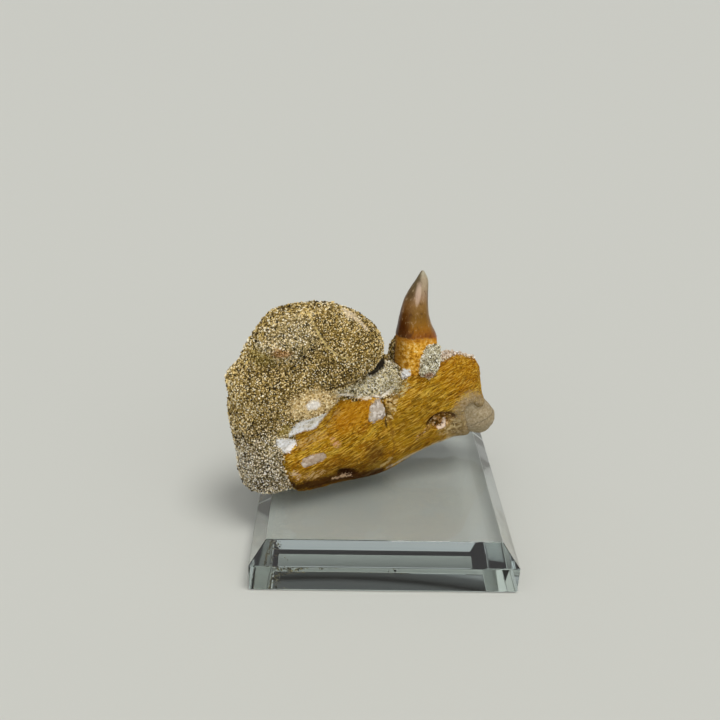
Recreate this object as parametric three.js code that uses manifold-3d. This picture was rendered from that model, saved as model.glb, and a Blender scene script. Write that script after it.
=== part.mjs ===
// A fossil jaw section with one standing tooth, half freed from its sandy matrix,
// shown on a bevelled block of clear glass.
//
// Millimetres, +Z up. The origin is the centre of the stand's underside and the
// display side faces -Y. The fossil is described in a frame of its own: "along"
// runs with the jaw to the right, "up" is the height above the glass, and "front"
// points to the display side. The fossil group stands turned on the stand.
import * as THREE from "three";
import { mergeVertices } from "three/addons/utils/BufferGeometryUtils.js";
import Module from "manifold-3d";

const wasm = await Module();
wasm.setup();

// ---------------------------------------------------------------- driving dimensions
const STAND = {
  side: 80,
  height: 15,
  bevelWidth: 5,
  bevelHeight: 6.1,
  arris: 0.4,
};
const FOSSIL = { x: -2, y: 10.7, turn: THREE.MathUtils.degToRad(20) };
const GAP = 0.3; // clearance left between pieces that touch

// The jaw: its upper and lower edges, as heights against the distance along it.
const JAW = {
  left: -37,
  right: 34.6,
  upperEdge: [
    [-38, 17.4], [-33, 18.8], [-26, 20.4], [-22.3, 22.6], [-19.2, 26.4], [-16.4, 30.2],
    [-11.7, 29.6], [-6, 28.9], [-0.8, 27.2], [3.2, 29.4], [7.2, 32.8], [9.6, 35],
    [12.5, 35.6], [15.6, 35.8], [19, 38.2], [23.4, 39.8], [28.2, 39], [32.6, 37.6], [34.6, 35.8],
  ],
  lowerEdge: [
    [-38, -3.4], [-20, -3.4], [-4, -2.4], [3, -0.8], [10, 2], [17.5, 4.2], [25, 5.9], [34.6, 7.9],
  ],
  frontFace: [[-38, 12.8], [-28, 14], [-10, 14.2], [8, 13.2], [22, 12.2], [34.6, 10.8]],
  backFace: [[-38, -4.5], [-10, -6.5], [12, -8.4], [26, -8.2], [34.6, -7.2]],
  bellyHeight: 0.4, // share of the height at which a section is widest
  lowerRoundness: 2.5,
  upperRoundness: 4.6,
  topLean: 3.4, // how far the front face leans back at the upper edge
  leanCurve: 1.6, // how late on the way up the lean sets in
  backFall: 0.62, // slope by which the upper side falls away to the back
  backFallCurve: 2, // how late on the way up the fall sets in
  backFallFrom: 6.5, // front distance of the crest that it falls from
  footStep: 5, // how far the left end's foot is set in
  footHeight: 12, // height below which it is set in
  leftRounding: { share: 0.3, reach: 1.2 }, // by which a section shrinks near the end
  rightRounding: { share: 0.1, reach: 0.9 },
  roughness: 0.4,
  swellRates: { along: 0.6, up: 1.4 }, // below 1 draws the swellings out
  sectionPoints: 26,
  stations: 32,
};

// The tooth: centre, half width and half depth of its section at each height.
const TOOTH = {
  stations: [
    { up: 30.6, along: 11.4, front: 1.8, halfWidth: 4.2, halfDepth: 3.6 },
    { up: 33.0, along: 11.6, front: 2.2, halfWidth: 5.8, halfDepth: 5.4 },
    { up: 37.0, along: 12.0, front: 2.8, halfWidth: 6.9, halfDepth: 6.2 },
    { up: 41.5, along: 12.2, front: 3.1, halfWidth: 7.2, halfDepth: 6.4 },
    { up: 44.6, along: 11.9, front: 3.2, halfWidth: 7.0, halfDepth: 6.3 },
    { up: 46.8, along: 11.5, front: 3.2, halfWidth: 6.5, halfDepth: 5.9 },
    { up: 50.5, along: 10.9, front: 3.1, halfWidth: 5.6, halfDepth: 5.2 },
    { up: 53.4, along: 10.75, front: 3.0, halfWidth: 4.85, halfDepth: 4.6 },
    { up: 57.6, along: 11.0, front: 2.9, halfWidth: 4.1, halfDepth: 3.9 },
    { up: 61.0, along: 11.85, front: 2.8, halfWidth: 3.15, halfDepth: 3.0 },
    { up: 64.3, along: 13.0, front: 2.6, halfWidth: 2.0, halfDepth: 1.9 },
    { up: 66.2, along: 13.1, front: 2.5, halfWidth: 1.0, halfDepth: 1.0 },
    { up: 67.2, along: 12.95, front: 2.5, halfWidth: 0.35, halfDepth: 0.35 },
  ],
  sectionPoints: 20,
  rings: 24,
};

// The matrix: a recessed body that runs behind the jaw, a proud main lump that
// overhangs it on the right, and a collar of sand behind the tooth. Each hump
// lifts, or with a negative height lowers, the front around a place (along, up).
const MATRIX_BODY = {
  centre: [-20, 27],
  outline: [
    [-44, 34], [-41, 42], [-34, 51], [-28, 54], [-21, 54], [-14, 52.4], [-8.6, 49.4], [-4.6, 45],
    [-1.6, 39.6], [3.2, 36], [8.5, 35], [13, 30], [13.6, 18], [11, 4], [5, -8], [-41, -8],
    [-43.4, 4], [-44.4, 20],
  ],
  frontReach: 8.2,
  humps: [{ height: -2.2, place: [1, 41], radii: [5, 4] }],
  backReach: 11.8,
  roundness: 3.2,
  detail: 7,
};
const MAIN_LUMP = {
  centre: [-27, 34],
  outline: [
    [-49.5, 34.8], [-48, 37.7], [-45.2, 40.4], [-43.6, 44], [-41.2, 48.2], [-37.9, 52.4],
    [-33.7, 56.8], [-28.3, 57.8], [-21.2, 57.8], [-15, 57.2], [-8.4, 54.3], [-2.9, 50.4],
    [-0.5, 46.8], [0, 43.2], [-1, 40.6], [-4.6, 37.4], [-10, 35.2], [-16.6, 33.2], [-14, 26],
    [-13, 10], [-18, -9], [-42, -9], [-45.6, -2], [-46.8, 9], [-48.1, 17], [-48.4, 30],
  ],
  frontReach: 12.6,
  humps: [
    { height: 1.6, place: [-10, 48], radii: [13, 10] }, // the dome at the upper right
    { height: 2, place: [-38, 50], radii: [8, 2.8] }, // the ridge at the upper left
    { height: -1.5, place: [-40, 44.5], radii: [8, 2.6] }, // the recess below the ridge
    { height: 1.2, place: [-42, 2], radii: [6, 9] }, // the foot
    { height: -3.2, place: [-29, 15], radii: [8, 9] }, // room for the jaw's left end
    { height: -3, place: [-15, 21], radii: [7, 8] }, // the fall towards the ledge
  ],
  backReach: 13.6,
  roundness: 3,
  detail: 10,
};
const CUSHION_ROUGHNESS = 0.9;

// Lumps: each has a centre, three radii, a lean in the plane of the display side
// and a roundness, 2 for an ellipsoid and more for a squarer shape.
const COLLAR = {
  centre: { along: 10.2, up: 37.2, front: -2.2 },
  radii: { along: 5, up: 7.6, front: 5.6 },
  lean: THREE.MathUtils.degToRad(-24),
  roundness: 2,
  roughness: 0.05,
  detail: 3,
};
// The infill sticks out of the jaw's broken right end as a lump and, with a face
// almost flush with the bone, fills the canal that is broken open beside it.
const INFILL_LUMP = {
  centre: { along: 33.9, up: 14.4, front: 4.3 },
  radii: { along: 8.3, up: 6.1, front: 7.9 },
  lean: THREE.MathUtils.degToRad(-35),
  roundness: 2.7,
  roughness: 0.01,
  detail: 3,
};
const INFILL_CANAL = {
  centre: { along: 30.8, up: 16.7, front: 5 },
  radii: { along: 4.3, up: 7.2, front: 9 },
  lean: THREE.MathUtils.degToRad(24),
  roundness: 2.4,
  roughness: 0.03,
  detail: 2,
};
const INFILL_PROUD = 0.3; // how far its face stands in front of the bone
const FRAGMENT = {
  centre: { along: -26.4, up: 30.9, front: 10.8 },
  radii: { along: 8.6, up: 4.8, front: 2.2 },
  lean: THREE.MathUtils.degToRad(10),
  roundness: 2.2,
  roughness: 0.05,
  detail: 3,
};
const SOCKET_SAND = {
  centre: { along: 14.5, up: 38.6, front: 7 },
  radii: { along: 3.6, up: 6.2, front: 3.2 },
  lean: THREE.MathUtils.degToRad(-8),
  roundness: 2.8,
  roughness: 0.05,
  detail: 3,
};

// Filler set flush in the jaw's front face, each by its outline.
const FILLERS = {
  filler_upper: [
    [-4.6, 27.9], [-3.2, 27.9], [-1.9, 26.3], [-1.3, 24], [-1.2, 22.2], [-2.6, 21.2],
    [-4.3, 20.9], [-5.9, 20.5], [-7.3, 21.8], [-6.9, 24], [-6.1, 25.9],
  ],
  filler_left: [
    [-36.2, 18.6], [-34.4, 19], [-32.1, 18.3], [-30.5, 17.1], [-31.2, 15.4], [-32.8, 14.7],
    [-34.8, 15.4], [-36.2, 17],
  ],
  filler_lower: [
    [-30.4, 11.6], [-28.4, 12.7], [-26, 13.7], [-22.7, 13.8], [-21.8, 12.1], [-23.2, 10.5],
    [-26, 10.2], [-29, 9.5],
  ],
};
const FILLER_DEPTH = 3; // how far behind the jaw's front reach a filler ends
const FILLER_BLANK = 5; // how far in front of it the uncut filler starts

// Pits in the jaw's front face: the nerve foramen at the right and a low worn pit.
const PITS = [
  {
    centre: { along: 19, up: 17.1, front: 13.4 },
    radii: { along: 4.8, up: 2.5, front: 3.6 },
    lean: 0.18,
    roundness: 2,
    roughness: 0,
    detail: 3,
  },
  {
    centre: { along: -14.2, up: 4.7, front: 14.8 },
    radii: { along: 4.4, up: 1.3, front: 2.6 },
    lean: -0.12,
    roundness: 2,
    roughness: 0,
    detail: 3,
  },
];

const CUTTER = { width: 200, depth: 100, height: 40 }; // block that ends the fossil below

// Crossed waves that make natural surfaces swell unevenly: each has its share of
// the height, its radians per mm along, up and front, and a slower bending wave.
const SWELLS = [
  { share: 0.5, rates: [0.31, 0, 0], start: 0.9, bend: 1.7, bendRates: [0, 0.17], bendStart: 0.4 },
  { share: 0.3, rates: [0, 0.47, -0.23], start: 0, bend: 1.3, bendRates: [0.29, 0], bendStart: 0 },
  { share: 0.2, rates: [0.53, -0.61, 0.71], start: 0, bend: 0, bendRates: [0, 0], bendStart: 0 },
];

// ---------------------------------------------------------------- materials
const standardMaterial = (color, roughness) =>
  new THREE.MeshStandardMaterial({ color, roughness, metalness: 0 });

const glass = new THREE.MeshStandardMaterial({
  color: 0xbfd0cb,
  roughness: 0.04,
  metalness: 0,
  transparent: true,
  opacity: 0.4,
});
const sand = standardMaterial(0x8a7850, 0.95);
const greySand = standardMaterial(0xb2a68a, 0.95);
const bone = standardMaterial(0x976f26, 0.6);
const paleBone = standardMaterial(0xc5b184, 0.75);
const enamel = standardMaterial(0x87572a, 0.28);
const siltstone = standardMaterial(0x8f805f, 0.8);
const filler = standardMaterial(0xb9b0a2, 0.85);

// ---------------------------------------------------------------- tools for shapes
const SAME_POINT = 1e-4; // mm below which two vertices are one

function joinedByPlace(geometry) {
  geometry.deleteAttribute("normal");
  geometry.deleteAttribute("uv");
  return mergeVertices(geometry, SAME_POINT);
}

function solidOf(geometry) {
  const joined = joinedByPlace(geometry);
  return new wasm.Manifold(
    new wasm.Mesh({
      numProp: 3,
      vertProperties: new Float32Array(joined.attributes.position.array),
      triVerts: new Uint32Array(joined.index.array),
    }),
  );
}

function meshOf(name, solid, material) {
  const { vertProperties, triVerts } = solid.getMesh();
  const geometry = new THREE.BufferGeometry();
  geometry.setAttribute("position", new THREE.BufferAttribute(vertProperties, 3));
  geometry.setIndex(new THREE.BufferAttribute(triVerts, 1));
  geometry.computeVertexNormals();
  const mesh = new THREE.Mesh(geometry, material);
  mesh.name = name;
  return mesh;
}

// Moves every vertex of a geometry to where pointAt puts it in the fossil's frame.
function reshaped(geometry, pointAt) {
  const joined = joinedByPlace(geometry);
  const position = joined.attributes.position;
  for (let i = 0; i < position.count; i++) {
    const point = pointAt(position.getX(i), position.getY(i), position.getZ(i));
    position.setXYZ(i, point.along, -point.front, point.up);
  }
  return solidOf(joined);
}

// The value at a place in a list of [place, value] pairs, straight between pairs.
function valueAt(pairs, place) {
  const next = pairs.findIndex(([at]) => at > place);
  if (next === 0) return pairs[0][1];
  if (next < 0) return pairs.at(-1)[1];
  const [fromPlace, fromValue] = pairs[next - 1];
  const [toPlace, toValue] = pairs[next];
  const share = (place - fromPlace) / (toPlace - fromPlace);
  return THREE.MathUtils.lerp(fromValue, toValue, share);
}

// Turns a round section's part into a squarer one's; 2 leaves it round.
const rounded = (value, roundness) => Math.sign(value) * Math.abs(value) ** (2 / roundness);

const LUMP_SWELLS = 9; // how much finer a lump swells than a cushion, lengths being shares

// Slow uneven swelling of a natural surface, between about -1 and 1.
function swelling(along, up, front) {
  return SWELLS.reduce((sum, { share, rates, start, bend, bendRates, bendStart }) => {
    const bending = bend * Math.sin(bendRates[0] * along + bendRates[1] * up + bendStart);
    const turn = rates[0] * along + rates[1] * up + rates[2] * front;
    return sum + share * Math.sin(turn + bending + start);
  }, 0);
}

// Falls from 1 at no distance to almost 0 at twice the reach.
const fade = (distance, reach) => Math.exp(-((distance / reach) ** 2));

// How far forward a cushion reaches at a place, with its humps and hollows.
function frontOf({ frontReach, humps }, along, up) {
  return humps.reduce((reach, { height, place, radii }) => {
    const distance = Math.hypot((along - place[0]) / radii[0], (up - place[1]) / radii[1]);
    return reach + height * fade(distance, 1);
  }, frontReach);
}

// ---------------------------------------------------------------- glass stand
// A square turned form: its profile runs over the base arris, the upright edge
// and the bevel, and four turns of it make the block.
function standMesh() {
  const half = STAND.side / 2;
  const upright = STAND.height - STAND.bevelHeight;
  const profile = [
    [0, 0],
    [half - STAND.arris, 0],
    [half, STAND.arris],
    [half, upright],
    [half - STAND.bevelWidth, STAND.height],
    [0, STAND.height],
  ].map(([reach, height]) => new THREE.Vector2(reach * Math.SQRT2, height));
  const geometry = new THREE.LatheGeometry(profile, 4, Math.PI / 4);
  geometry.rotateX(Math.PI / 2);
  return meshOf("glass_stand", solidOf(geometry), glass);
}

// ---------------------------------------------------------------- jaw bone
// A closed run of D-shaped sections: full and round below, squarer at the broken
// upper edge, which leans back from the display side.
function jawSolid(grow) {
  const cylinder = new THREE.CylinderGeometry(1, 1, 1, JAW.sectionPoints, JAW.stations);
  return reshaped(cylinder, (frontPart, alongPart, upPart) => {
    const share = THREE.MathUtils.clamp(alongPart + 0.5, 0, 1);
    const along = THREE.MathUtils.lerp(JAW.left - grow, JAW.right + grow, share);
    const upper = valueAt(JAW.upperEdge, along) + grow;
    const lower = valueAt(JAW.lowerEdge, along) - grow;
    const front = valueAt(JAW.frontFace, along) + grow;
    const back = valueAt(JAW.backFace, along) - grow;
    const { leftRounding, rightRounding } = JAW;
    const endTaper =
      1 -
      leftRounding.share * fade(along - JAW.left, leftRounding.reach) -
      rightRounding.share * fade(JAW.right - along, rightRounding.reach);
    const belly = THREE.MathUtils.lerp(lower, upper, JAW.bellyHeight);
    const halfHeight = (upPart > 0 ? upper - belly : belly - lower) * endTaper;
    const roundness = upPart > 0 ? JAW.upperRoundness : JAW.lowerRoundness;
    const up = belly + halfHeight * rounded(upPart, roundness);
    const middle = (front + back) / 2;
    const halfDepth = ((front - back) / 2) * endTaper;
    const topShare = Math.max(0, (up - belly) / (upper - belly));
    const lean = frontPart > 0 ? JAW.topLean * topShare ** JAW.leanCurve : 0;
    const depth = middle + rounded(frontPart, roundness) * halfDepth - lean;
    const behindCrest = Math.max(0, JAW.backFallFrom - depth);
    const fall = JAW.backFall * behindCrest * topShare ** JAW.backFallCurve;
    const onSurface = Math.hypot(frontPart, upPart);
    const { swellRates, roughness } = JAW;
    const swell = swelling(along * swellRates.along, up * swellRates.up, depth);
    const rough = roughness * swell * onSurface;
    const foot = Math.max(0, 1 - up / JAW.footHeight) * fade(along - JAW.left, JAW.footStep);
    return {
      along: along + JAW.footStep * Math.min(1, foot),
      up: up - fall,
      front: depth + Math.sign(frontPart) * rough,
    };
  });
}

// ---------------------------------------------------------------- tooth
function toothSolid(grow) {
  const cylinder = new THREE.CylinderGeometry(1, 1, 1, TOOTH.sectionPoints, TOOTH.rings);
  const track = (key) => TOOTH.stations.map((station) => [station.up, station[key]]);
  const foot = TOOTH.stations[0].up;
  const tip = TOOTH.stations.at(-1).up;
  return reshaped(cylinder, (alongPart, upPart, frontPart) => {
    const share = THREE.MathUtils.clamp(upPart + 0.5, 0, 1);
    const height = THREE.MathUtils.lerp(foot, tip, share);
    const width = valueAt(track("halfWidth"), height) + grow;
    const depth = valueAt(track("halfDepth"), height) + grow;
    return {
      along: valueAt(track("along"), height) + alongPart * width,
      up: THREE.MathUtils.lerp(foot - grow, tip + grow, share),
      front: valueAt(track("front"), height) + frontPart * depth,
    };
  });
}

// ---------------------------------------------------------------- lumps
// A cushion with a given outline: round at its rim and flatter at front and back.
function cushionSolid(shape) {
  const [centreAlong, centreUp] = shape.centre;
  const rim = shape.outline
    .map(([along, up]) => [
      Math.atan2(up - centreUp, along - centreAlong),
      Math.hypot(along - centreAlong, up - centreUp),
    ])
    .sort((a, b) => a[0] - b[0]);
  const turn = 2 * Math.PI;
  const closedRim = [
    [rim.at(-1)[0] - turn, rim.at(-1)[1]],
    ...rim,
    [rim[0][0] + turn, rim[0][1]],
  ];
  const ball = new THREE.IcosahedronGeometry(1, shape.detail);
  return reshaped(ball, (alongPart, upPart, frontPart) => {
    const reach = rounded(Math.hypot(alongPart, upPart), shape.roundness);
    const angle = Math.atan2(upPart, alongPart);
    const radius = reach * valueAt(closedRim, angle);
    const along = centreAlong + radius * Math.cos(angle);
    const up = centreUp + radius * Math.sin(angle);
    const limit = frontPart > 0 ? frontOf(shape, along, up) : shape.backReach;
    const front = rounded(frontPart, shape.roundness) * limit;
    const rough = CUSHION_ROUGHNESS * swelling(along, up, front);
    return { along, up, front: front + rough * Math.sqrt(Math.abs(frontPart)) };
  });
}

// A lump: an ellipsoid or a squarer shape with an uneven surface.
function lumpSolid({ centre, radii, lean, roundness, roughness, detail }, grow) {
  const ball = new THREE.IcosahedronGeometry(1, detail);
  return reshaped(ball, (...parts) => {
    const swell = 1 + roughness * swelling(...parts.map((part) => LUMP_SWELLS * part));
    const powers = parts.reduce((sum, part) => sum + Math.abs(part) ** roundness, 0);
    const reach = swell / powers ** (1 / roundness);
    const a = parts[0] * (radii.along * reach + grow);
    const b = parts[1] * (radii.up * reach + grow);
    return {
      along: centre.along + a * Math.cos(lean) - b * Math.sin(lean),
      up: centre.up + a * Math.sin(lean) + b * Math.cos(lean),
      front: centre.front + parts[2] * (radii.front * reach + grow),
    };
  });
}

// ---------------------------------------------------------------- fillers
function outlinePrism(outline, grow, depthFrom, depthTo) {
  const middle = outline
    .reduce((sum, [along, up]) => [sum[0] + along, sum[1] + up], [0, 0])
    .map((sum) => sum / outline.length);
  const points = outline.map(([along, up]) => {
    const ray = new THREE.Vector2(along - middle[0], up - middle[1]);
    ray.setLength(ray.length() + grow);
    return new THREE.Vector2(middle[0] + ray.x, middle[1] + ray.y);
  });
  const geometry = new THREE.ExtrudeGeometry(new THREE.Shape(points), {
    depth: depthTo - depthFrom,
    bevelEnabled: false,
  });
  geometry.translate(0, 0, depthFrom);
  geometry.rotateX(Math.PI / 2);
  return solidOf(geometry);
}

// ---------------------------------------------------------------- assembly
const cutter = new THREE.BoxGeometry(CUTTER.width, CUTTER.depth, CUTTER.height);
cutter.translate(0, 0, -CUTTER.height / 2);
const belowFossil = solidOf(cutter);

const jawWhole = jawSolid(0).subtract(belowFossil);
let jaw = jawWhole
  .subtract(toothSolid(GAP))
  .subtract(lumpSolid(INFILL_LUMP, GAP))
  .subtract(lumpSolid(INFILL_CANAL, GAP))
  .subtract(lumpSolid(SOCKET_SAND, GAP));
for (const pit of PITS) jaw = jaw.subtract(lumpSolid(pit, 0));

const fillerMeshes = [];
for (const [name, outline] of Object.entries(FILLERS)) {
  const front = valueAt(JAW.frontFace, outline[0][0]);
  const bottom = front - JAW.topLean - FILLER_DEPTH;
  const plug = outlinePrism(outline, 0, bottom, front + FILLER_BLANK);
  const pocket = outlinePrism(outline, GAP, bottom - GAP, front + FILLER_BLANK);
  fillerMeshes.push(meshOf(name, plug.intersect(jawWhole), filler));
  jaw = jaw.subtract(pocket);
}

const infill = lumpSolid(INFILL_CANAL, 0)
  .intersect(jawSolid(INFILL_PROUD))
  .add(lumpSolid(INFILL_LUMP, 0));
const fragment = lumpSolid(FRAGMENT, 0).subtract(jawSolid(GAP));
const socketSand = lumpSolid(SOCKET_SAND, 0).subtract(toothSolid(GAP));
const matrix = cushionSolid(MATRIX_BODY)
  .add(cushionSolid(MAIN_LUMP))
  .add(lumpSolid(COLLAR, 0))
  .subtract(jawSolid(GAP))
  .subtract(toothSolid(GAP))
  .subtract(lumpSolid(FRAGMENT, GAP))
  .subtract(lumpSolid(SOCKET_SAND, GAP))
  .subtract(belowFossil);

const fossil = new THREE.Group();
fossil.position.set(FOSSIL.x, FOSSIL.y, STAND.height + GAP);
fossil.rotation.z = FOSSIL.turn;
fossil.add(
  meshOf("sandy_matrix", matrix, sand),
  meshOf("jaw_bone", jaw, bone),
  meshOf("tooth", toothSolid(0), enamel),
  meshOf("canal_infill", infill, siltstone),
  meshOf("pale_bone_fragment", fragment, paleBone),
  meshOf("socket_sand", socketSand, greySand),
  ...fillerMeshes,
);

const part = new THREE.Group();
part.add(standMesh(), fossil);

export default part;
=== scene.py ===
"""Fine surfaces, finishes and a plain studio for a fossil jaw on a glass stand.

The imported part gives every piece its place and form. Each operator below makes a
finer skin over one piece, or over a group of like pieces, and gives it its finish.
The shaping is done in millimetres in the fossil's own frame: "along" runs with
the jaw to the right, "up" is the height above the glass, "front" points to the
display side. Run the file as a script; main() calls the operators in order.
"""

import functools
import itertools
import math

import bmesh
import bpy
import numpy as np
from mathutils import Matrix, Vector
from mathutils.bvhtree import BVHTree


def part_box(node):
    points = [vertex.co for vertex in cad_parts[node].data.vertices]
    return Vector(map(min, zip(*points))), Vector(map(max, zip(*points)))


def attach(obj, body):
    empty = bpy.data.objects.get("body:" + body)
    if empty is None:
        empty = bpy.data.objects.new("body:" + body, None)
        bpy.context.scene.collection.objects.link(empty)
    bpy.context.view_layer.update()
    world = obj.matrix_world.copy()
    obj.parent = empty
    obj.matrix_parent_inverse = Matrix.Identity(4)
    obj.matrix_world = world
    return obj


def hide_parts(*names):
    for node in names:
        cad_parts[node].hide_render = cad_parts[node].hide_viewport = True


bl_info = {
    "name": "Fossil jaw on a glass stand",
    "version": (1, 0, 0),
    "blender": (4, 5, 0),
    "location": "3D View > Sidebar > Fossil",
    "description": "Fine surfaces, finishes and a plain studio for a fossil jaw in its sandy matrix",
    "category": "Object",
}

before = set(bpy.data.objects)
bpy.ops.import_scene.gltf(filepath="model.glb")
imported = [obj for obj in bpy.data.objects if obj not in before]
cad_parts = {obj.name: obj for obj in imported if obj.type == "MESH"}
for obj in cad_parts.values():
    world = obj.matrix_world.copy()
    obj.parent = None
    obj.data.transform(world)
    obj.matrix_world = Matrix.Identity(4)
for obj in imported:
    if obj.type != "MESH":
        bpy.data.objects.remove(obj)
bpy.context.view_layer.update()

# ---------------------------------------------------------------- the fossil's place
MM = 0.001
BODY = "root"
STAND_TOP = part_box("glass_stand")[1].z / MM
FOSSIL_GAP = 0.3  # mm between the fossil and the glass
FOSSIL_X, FOSSIL_Y = -2.0, 10.7
FOSSIL_TURN = math.radians(20)

TO_WORLD = (
    Matrix.Scale(MM, 4)
    @ Matrix.Translation((FOSSIL_X, FOSSIL_Y, STAND_TOP + FOSSIL_GAP))
    @ Matrix.Rotation(FOSSIL_TURN, 4, "Z")
)
TO_FOSSIL = TO_WORLD.inverted()

GRAIN_RISE = math.radians(24)  # how steeply the bone's fibres climb to the right
FAR = 9.0  # mm; stored where a mark does not apply
FILLERS = ("filler_upper", "filler_left", "filler_lower")

# ---------------------------------------------------------------- marked areas
# Outlines of what differs in colour or height on the display side, as (along, up)
# in millimetres. A skin keeps, for each vertex, how far inside an area it lies.
AREAS = {
    "roundel": [
        (-22.4, 57.7), (-24.8, 57.7), (-24.3, 54.9), (-23, 51.9), (-20.9, 49), (-17.2, 46.1),
        (-13.7, 44.5), (-8.9, 43.6), (-5.1, 45.1), (-3, 48.5), (-5, 52.5), (-9, 55.5), (-17.1, 58.5),
    ],
    "ledge": [
        (-17.4, 31.8), (-19, 34.9), (-13, 33.2), (-8.2, 33.9), (-4.7, 35.5), (-2.9, 36.5),
        (1.1, 36.2), (5, 38), (5.5, 34), (4.7, 29.4), (2.2, 27.6), (-1, 27.8), (-7, 28.5),
        (-13, 30.7),
    ],
    "crevice": [
        (-5.6, 34.9), (-4.9, 37.4), (-3, 39.2), (-0.6, 40), (1.6, 39.4), (2.2, 37.6), (0.8, 35.9),
        (-1.4, 35), (-3.6, 34.5),
    ],
    "cream_sand": [
        (-42.1, 18.7), (-41.4, 21.8), (-38.9, 22.2), (-36.7, 21.4), (-36.5, 19.7), (-37.1, 15.8),
        (-37.3, 11.3), (-39.6, 12.6), (-41.5, 15.2),
    ],
    "white_band": [
        (-32.8, 21.3), (-31.4, 23), (-29.6, 24.6), (-27, 25), (-24.6, 25.6), (-21.9, 27.3),
        (-20.6, 27.6), (-20.9, 26.4), (-22.8, 24), (-24, 21.9), (-26.2, 20.5), (-28.4, 21.2),
        (-30.4, 21),
    ],
    "bone_strip": [
        (-31.6, 20.4), (-28.4, 21.2), (-26.2, 20.7), (-24.2, 21.8), (-22.6, 24.2), (-20.4, 26.8),
        (-18.2, 28.6), (-15.6, 29), (-13.4, 27.4), (-17, 23.4), (-20, 19.8), (-24, 17), (-30, 16.4),
    ],
    "pale_bone_edge": [
        (-32, 20), (-27, 21.4), (-22.6, 25), (-18, 28), (-17, 25.6), (-20.5, 21.6), (-24, 17.6),
        (-29, 15.6), (-31.6, 16.4),
    ],
    "yellow_bone": [
        (-36.6, 22.6), (-35.8, 24.6), (-33.7, 24.7), (-32, 23.3), (-32.4, 20.7), (-34, 20.1),
        (-36.2, 21.4),
    ],
    "white_patch": [
        (-37.7, 20.4), (-35.8, 20.5), (-33.4, 19.5), (-31.1, 18.1), (-30.9, 16.7), (-32.3, 16),
        (-33.4, 14.6), (-34.8, 14.6), (-36.3, 16.9), (-37.5, 18.5),
    ],
    "straw_patch": [
        (-34.2, 33.2), (-33.4, 34.7), (-30.2, 35.8), (-27.6, 36.5), (-23.9, 36.6), (-20.7, 35.3),
        (-17.4, 31.8), (-17, 29.8), (-19, 28.9), (-20.4, 27.4), (-26.5, 26), (-33.3, 27.5),
        (-34.7, 29.1),
    ],
    "cream_corner": [
        (-33.6, 7.6), (-32.6, 8.8), (-31, 8.3), (-30, 6.6), (-31.2, 5.4), (-32.8, 6),
    ],
    "scuffs": [
        (-28.9, 7.5), (-25.6, 8.1), (-22.3, 7.2), (-22.9, 5.5), (-25.6, 5.1), (-27.9, 5),
        (-29.5, 6.1),
    ],
    "pink_spot": [(-20.3, 16.4), (-20, 18.6), (-18.9, 18), (-17.2, 16.6), (-17.6, 15.2), (-19.2, 15.4)],
    "pink_patch": [
        (-30.1, 10.7), (-29.7, 12.5), (-27.6, 13.3), (-24.4, 13.5), (-21.7, 13.2), (-21.2, 12.2),
        (-22.8, 11.2), (-25.6, 10.5), (-27.7, 9.6), (-29.2, 9.3),
    ],
    "teardrop": [
        (-4.8, 26.9), (-2.6, 27.4), (-1.8, 26.2), (-1, 23.9), (-0.9, 22.2), (-2.5, 21.4),
        (-4.3, 21.6), (-5.8, 21.1), (-7.2, 22.1), (-6.7, 24.1), (-6.1, 25.8),
    ],
    "rubble": [
        (16.4, 43), (19.5, 43.6), (23, 42.6), (26.5, 40.5), (30, 38.5), (33.8, 36.4), (33.4, 35.4),
        (30, 36.8), (27, 37.7), (24, 38.2), (21.6, 37.4), (19, 36.4), (17.4, 34), (16.6, 38),
    ],
    "stain": [
        (-8.8, 10.7), (-7.6, 13.3), (-4.7, 13.9), (-1.7, 12.1), (-2, 9.2), (-4.7, 7.4),
        (-7.7, 8),
    ],
    "low_pit": [
        (-18.4, 6.2), (-17.3, 6.9), (-14.4, 6.5), (-11.6, 4.4), (-12.1, 3.6), (-14.7, 3.6),
        (-17.7, 4.7),
    ],
    "sandy_hollow": [
        (0.1, 26.9), (2.7, 28), (4.4, 28.1), (3.2, 25.6), (1.8, 23.2), (0.8, 21.2), (-0.6, 20.2),
        (-1.1, 21.8), (-0.5, 24.3),
    ],
    "green_bone": [
        (2.6, 29.4), (2.9, 31), (4.6, 32.2), (7.2, 32.2), (8, 30.8), (6.8, 28.9), (4.6, 27.8),
        (3, 28.2),
    ],
    "white_spot": [
        (6, 33.9), (6.8, 35.3), (8.1, 35.4), (8.9, 33.6), (8.4, 31.9), (6.4, 32.2),
    ],
    "socket_patch": [
        (10.9, 38.7), (11.9, 42.9), (13, 44.4), (15.5, 44.4), (17.3, 43.5), (17.6, 40.1),
        (17.2, 37.6), (16.6, 33.6), (14.5, 32.1), (12.4, 34.2), (10.9, 36.1),
    ],
    "grey_end": [
        (23.1, 19.8), (25.6, 22.3), (28.1, 23.6), (32.2, 22.2), (37.9, 20), (40, 10), (36, 4),
        (28, 5.2), (24.4, 9), (22.2, 16.1),
    ],
    "foramen": [
        (14.1, 18.2), (14.9, 19.6), (17.4, 20.2), (20.6, 19.7), (22.2, 18), (21.8, 16.1),
        (20, 14.4), (17, 14.9), (14.8, 16.3),
    ],
}
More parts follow.
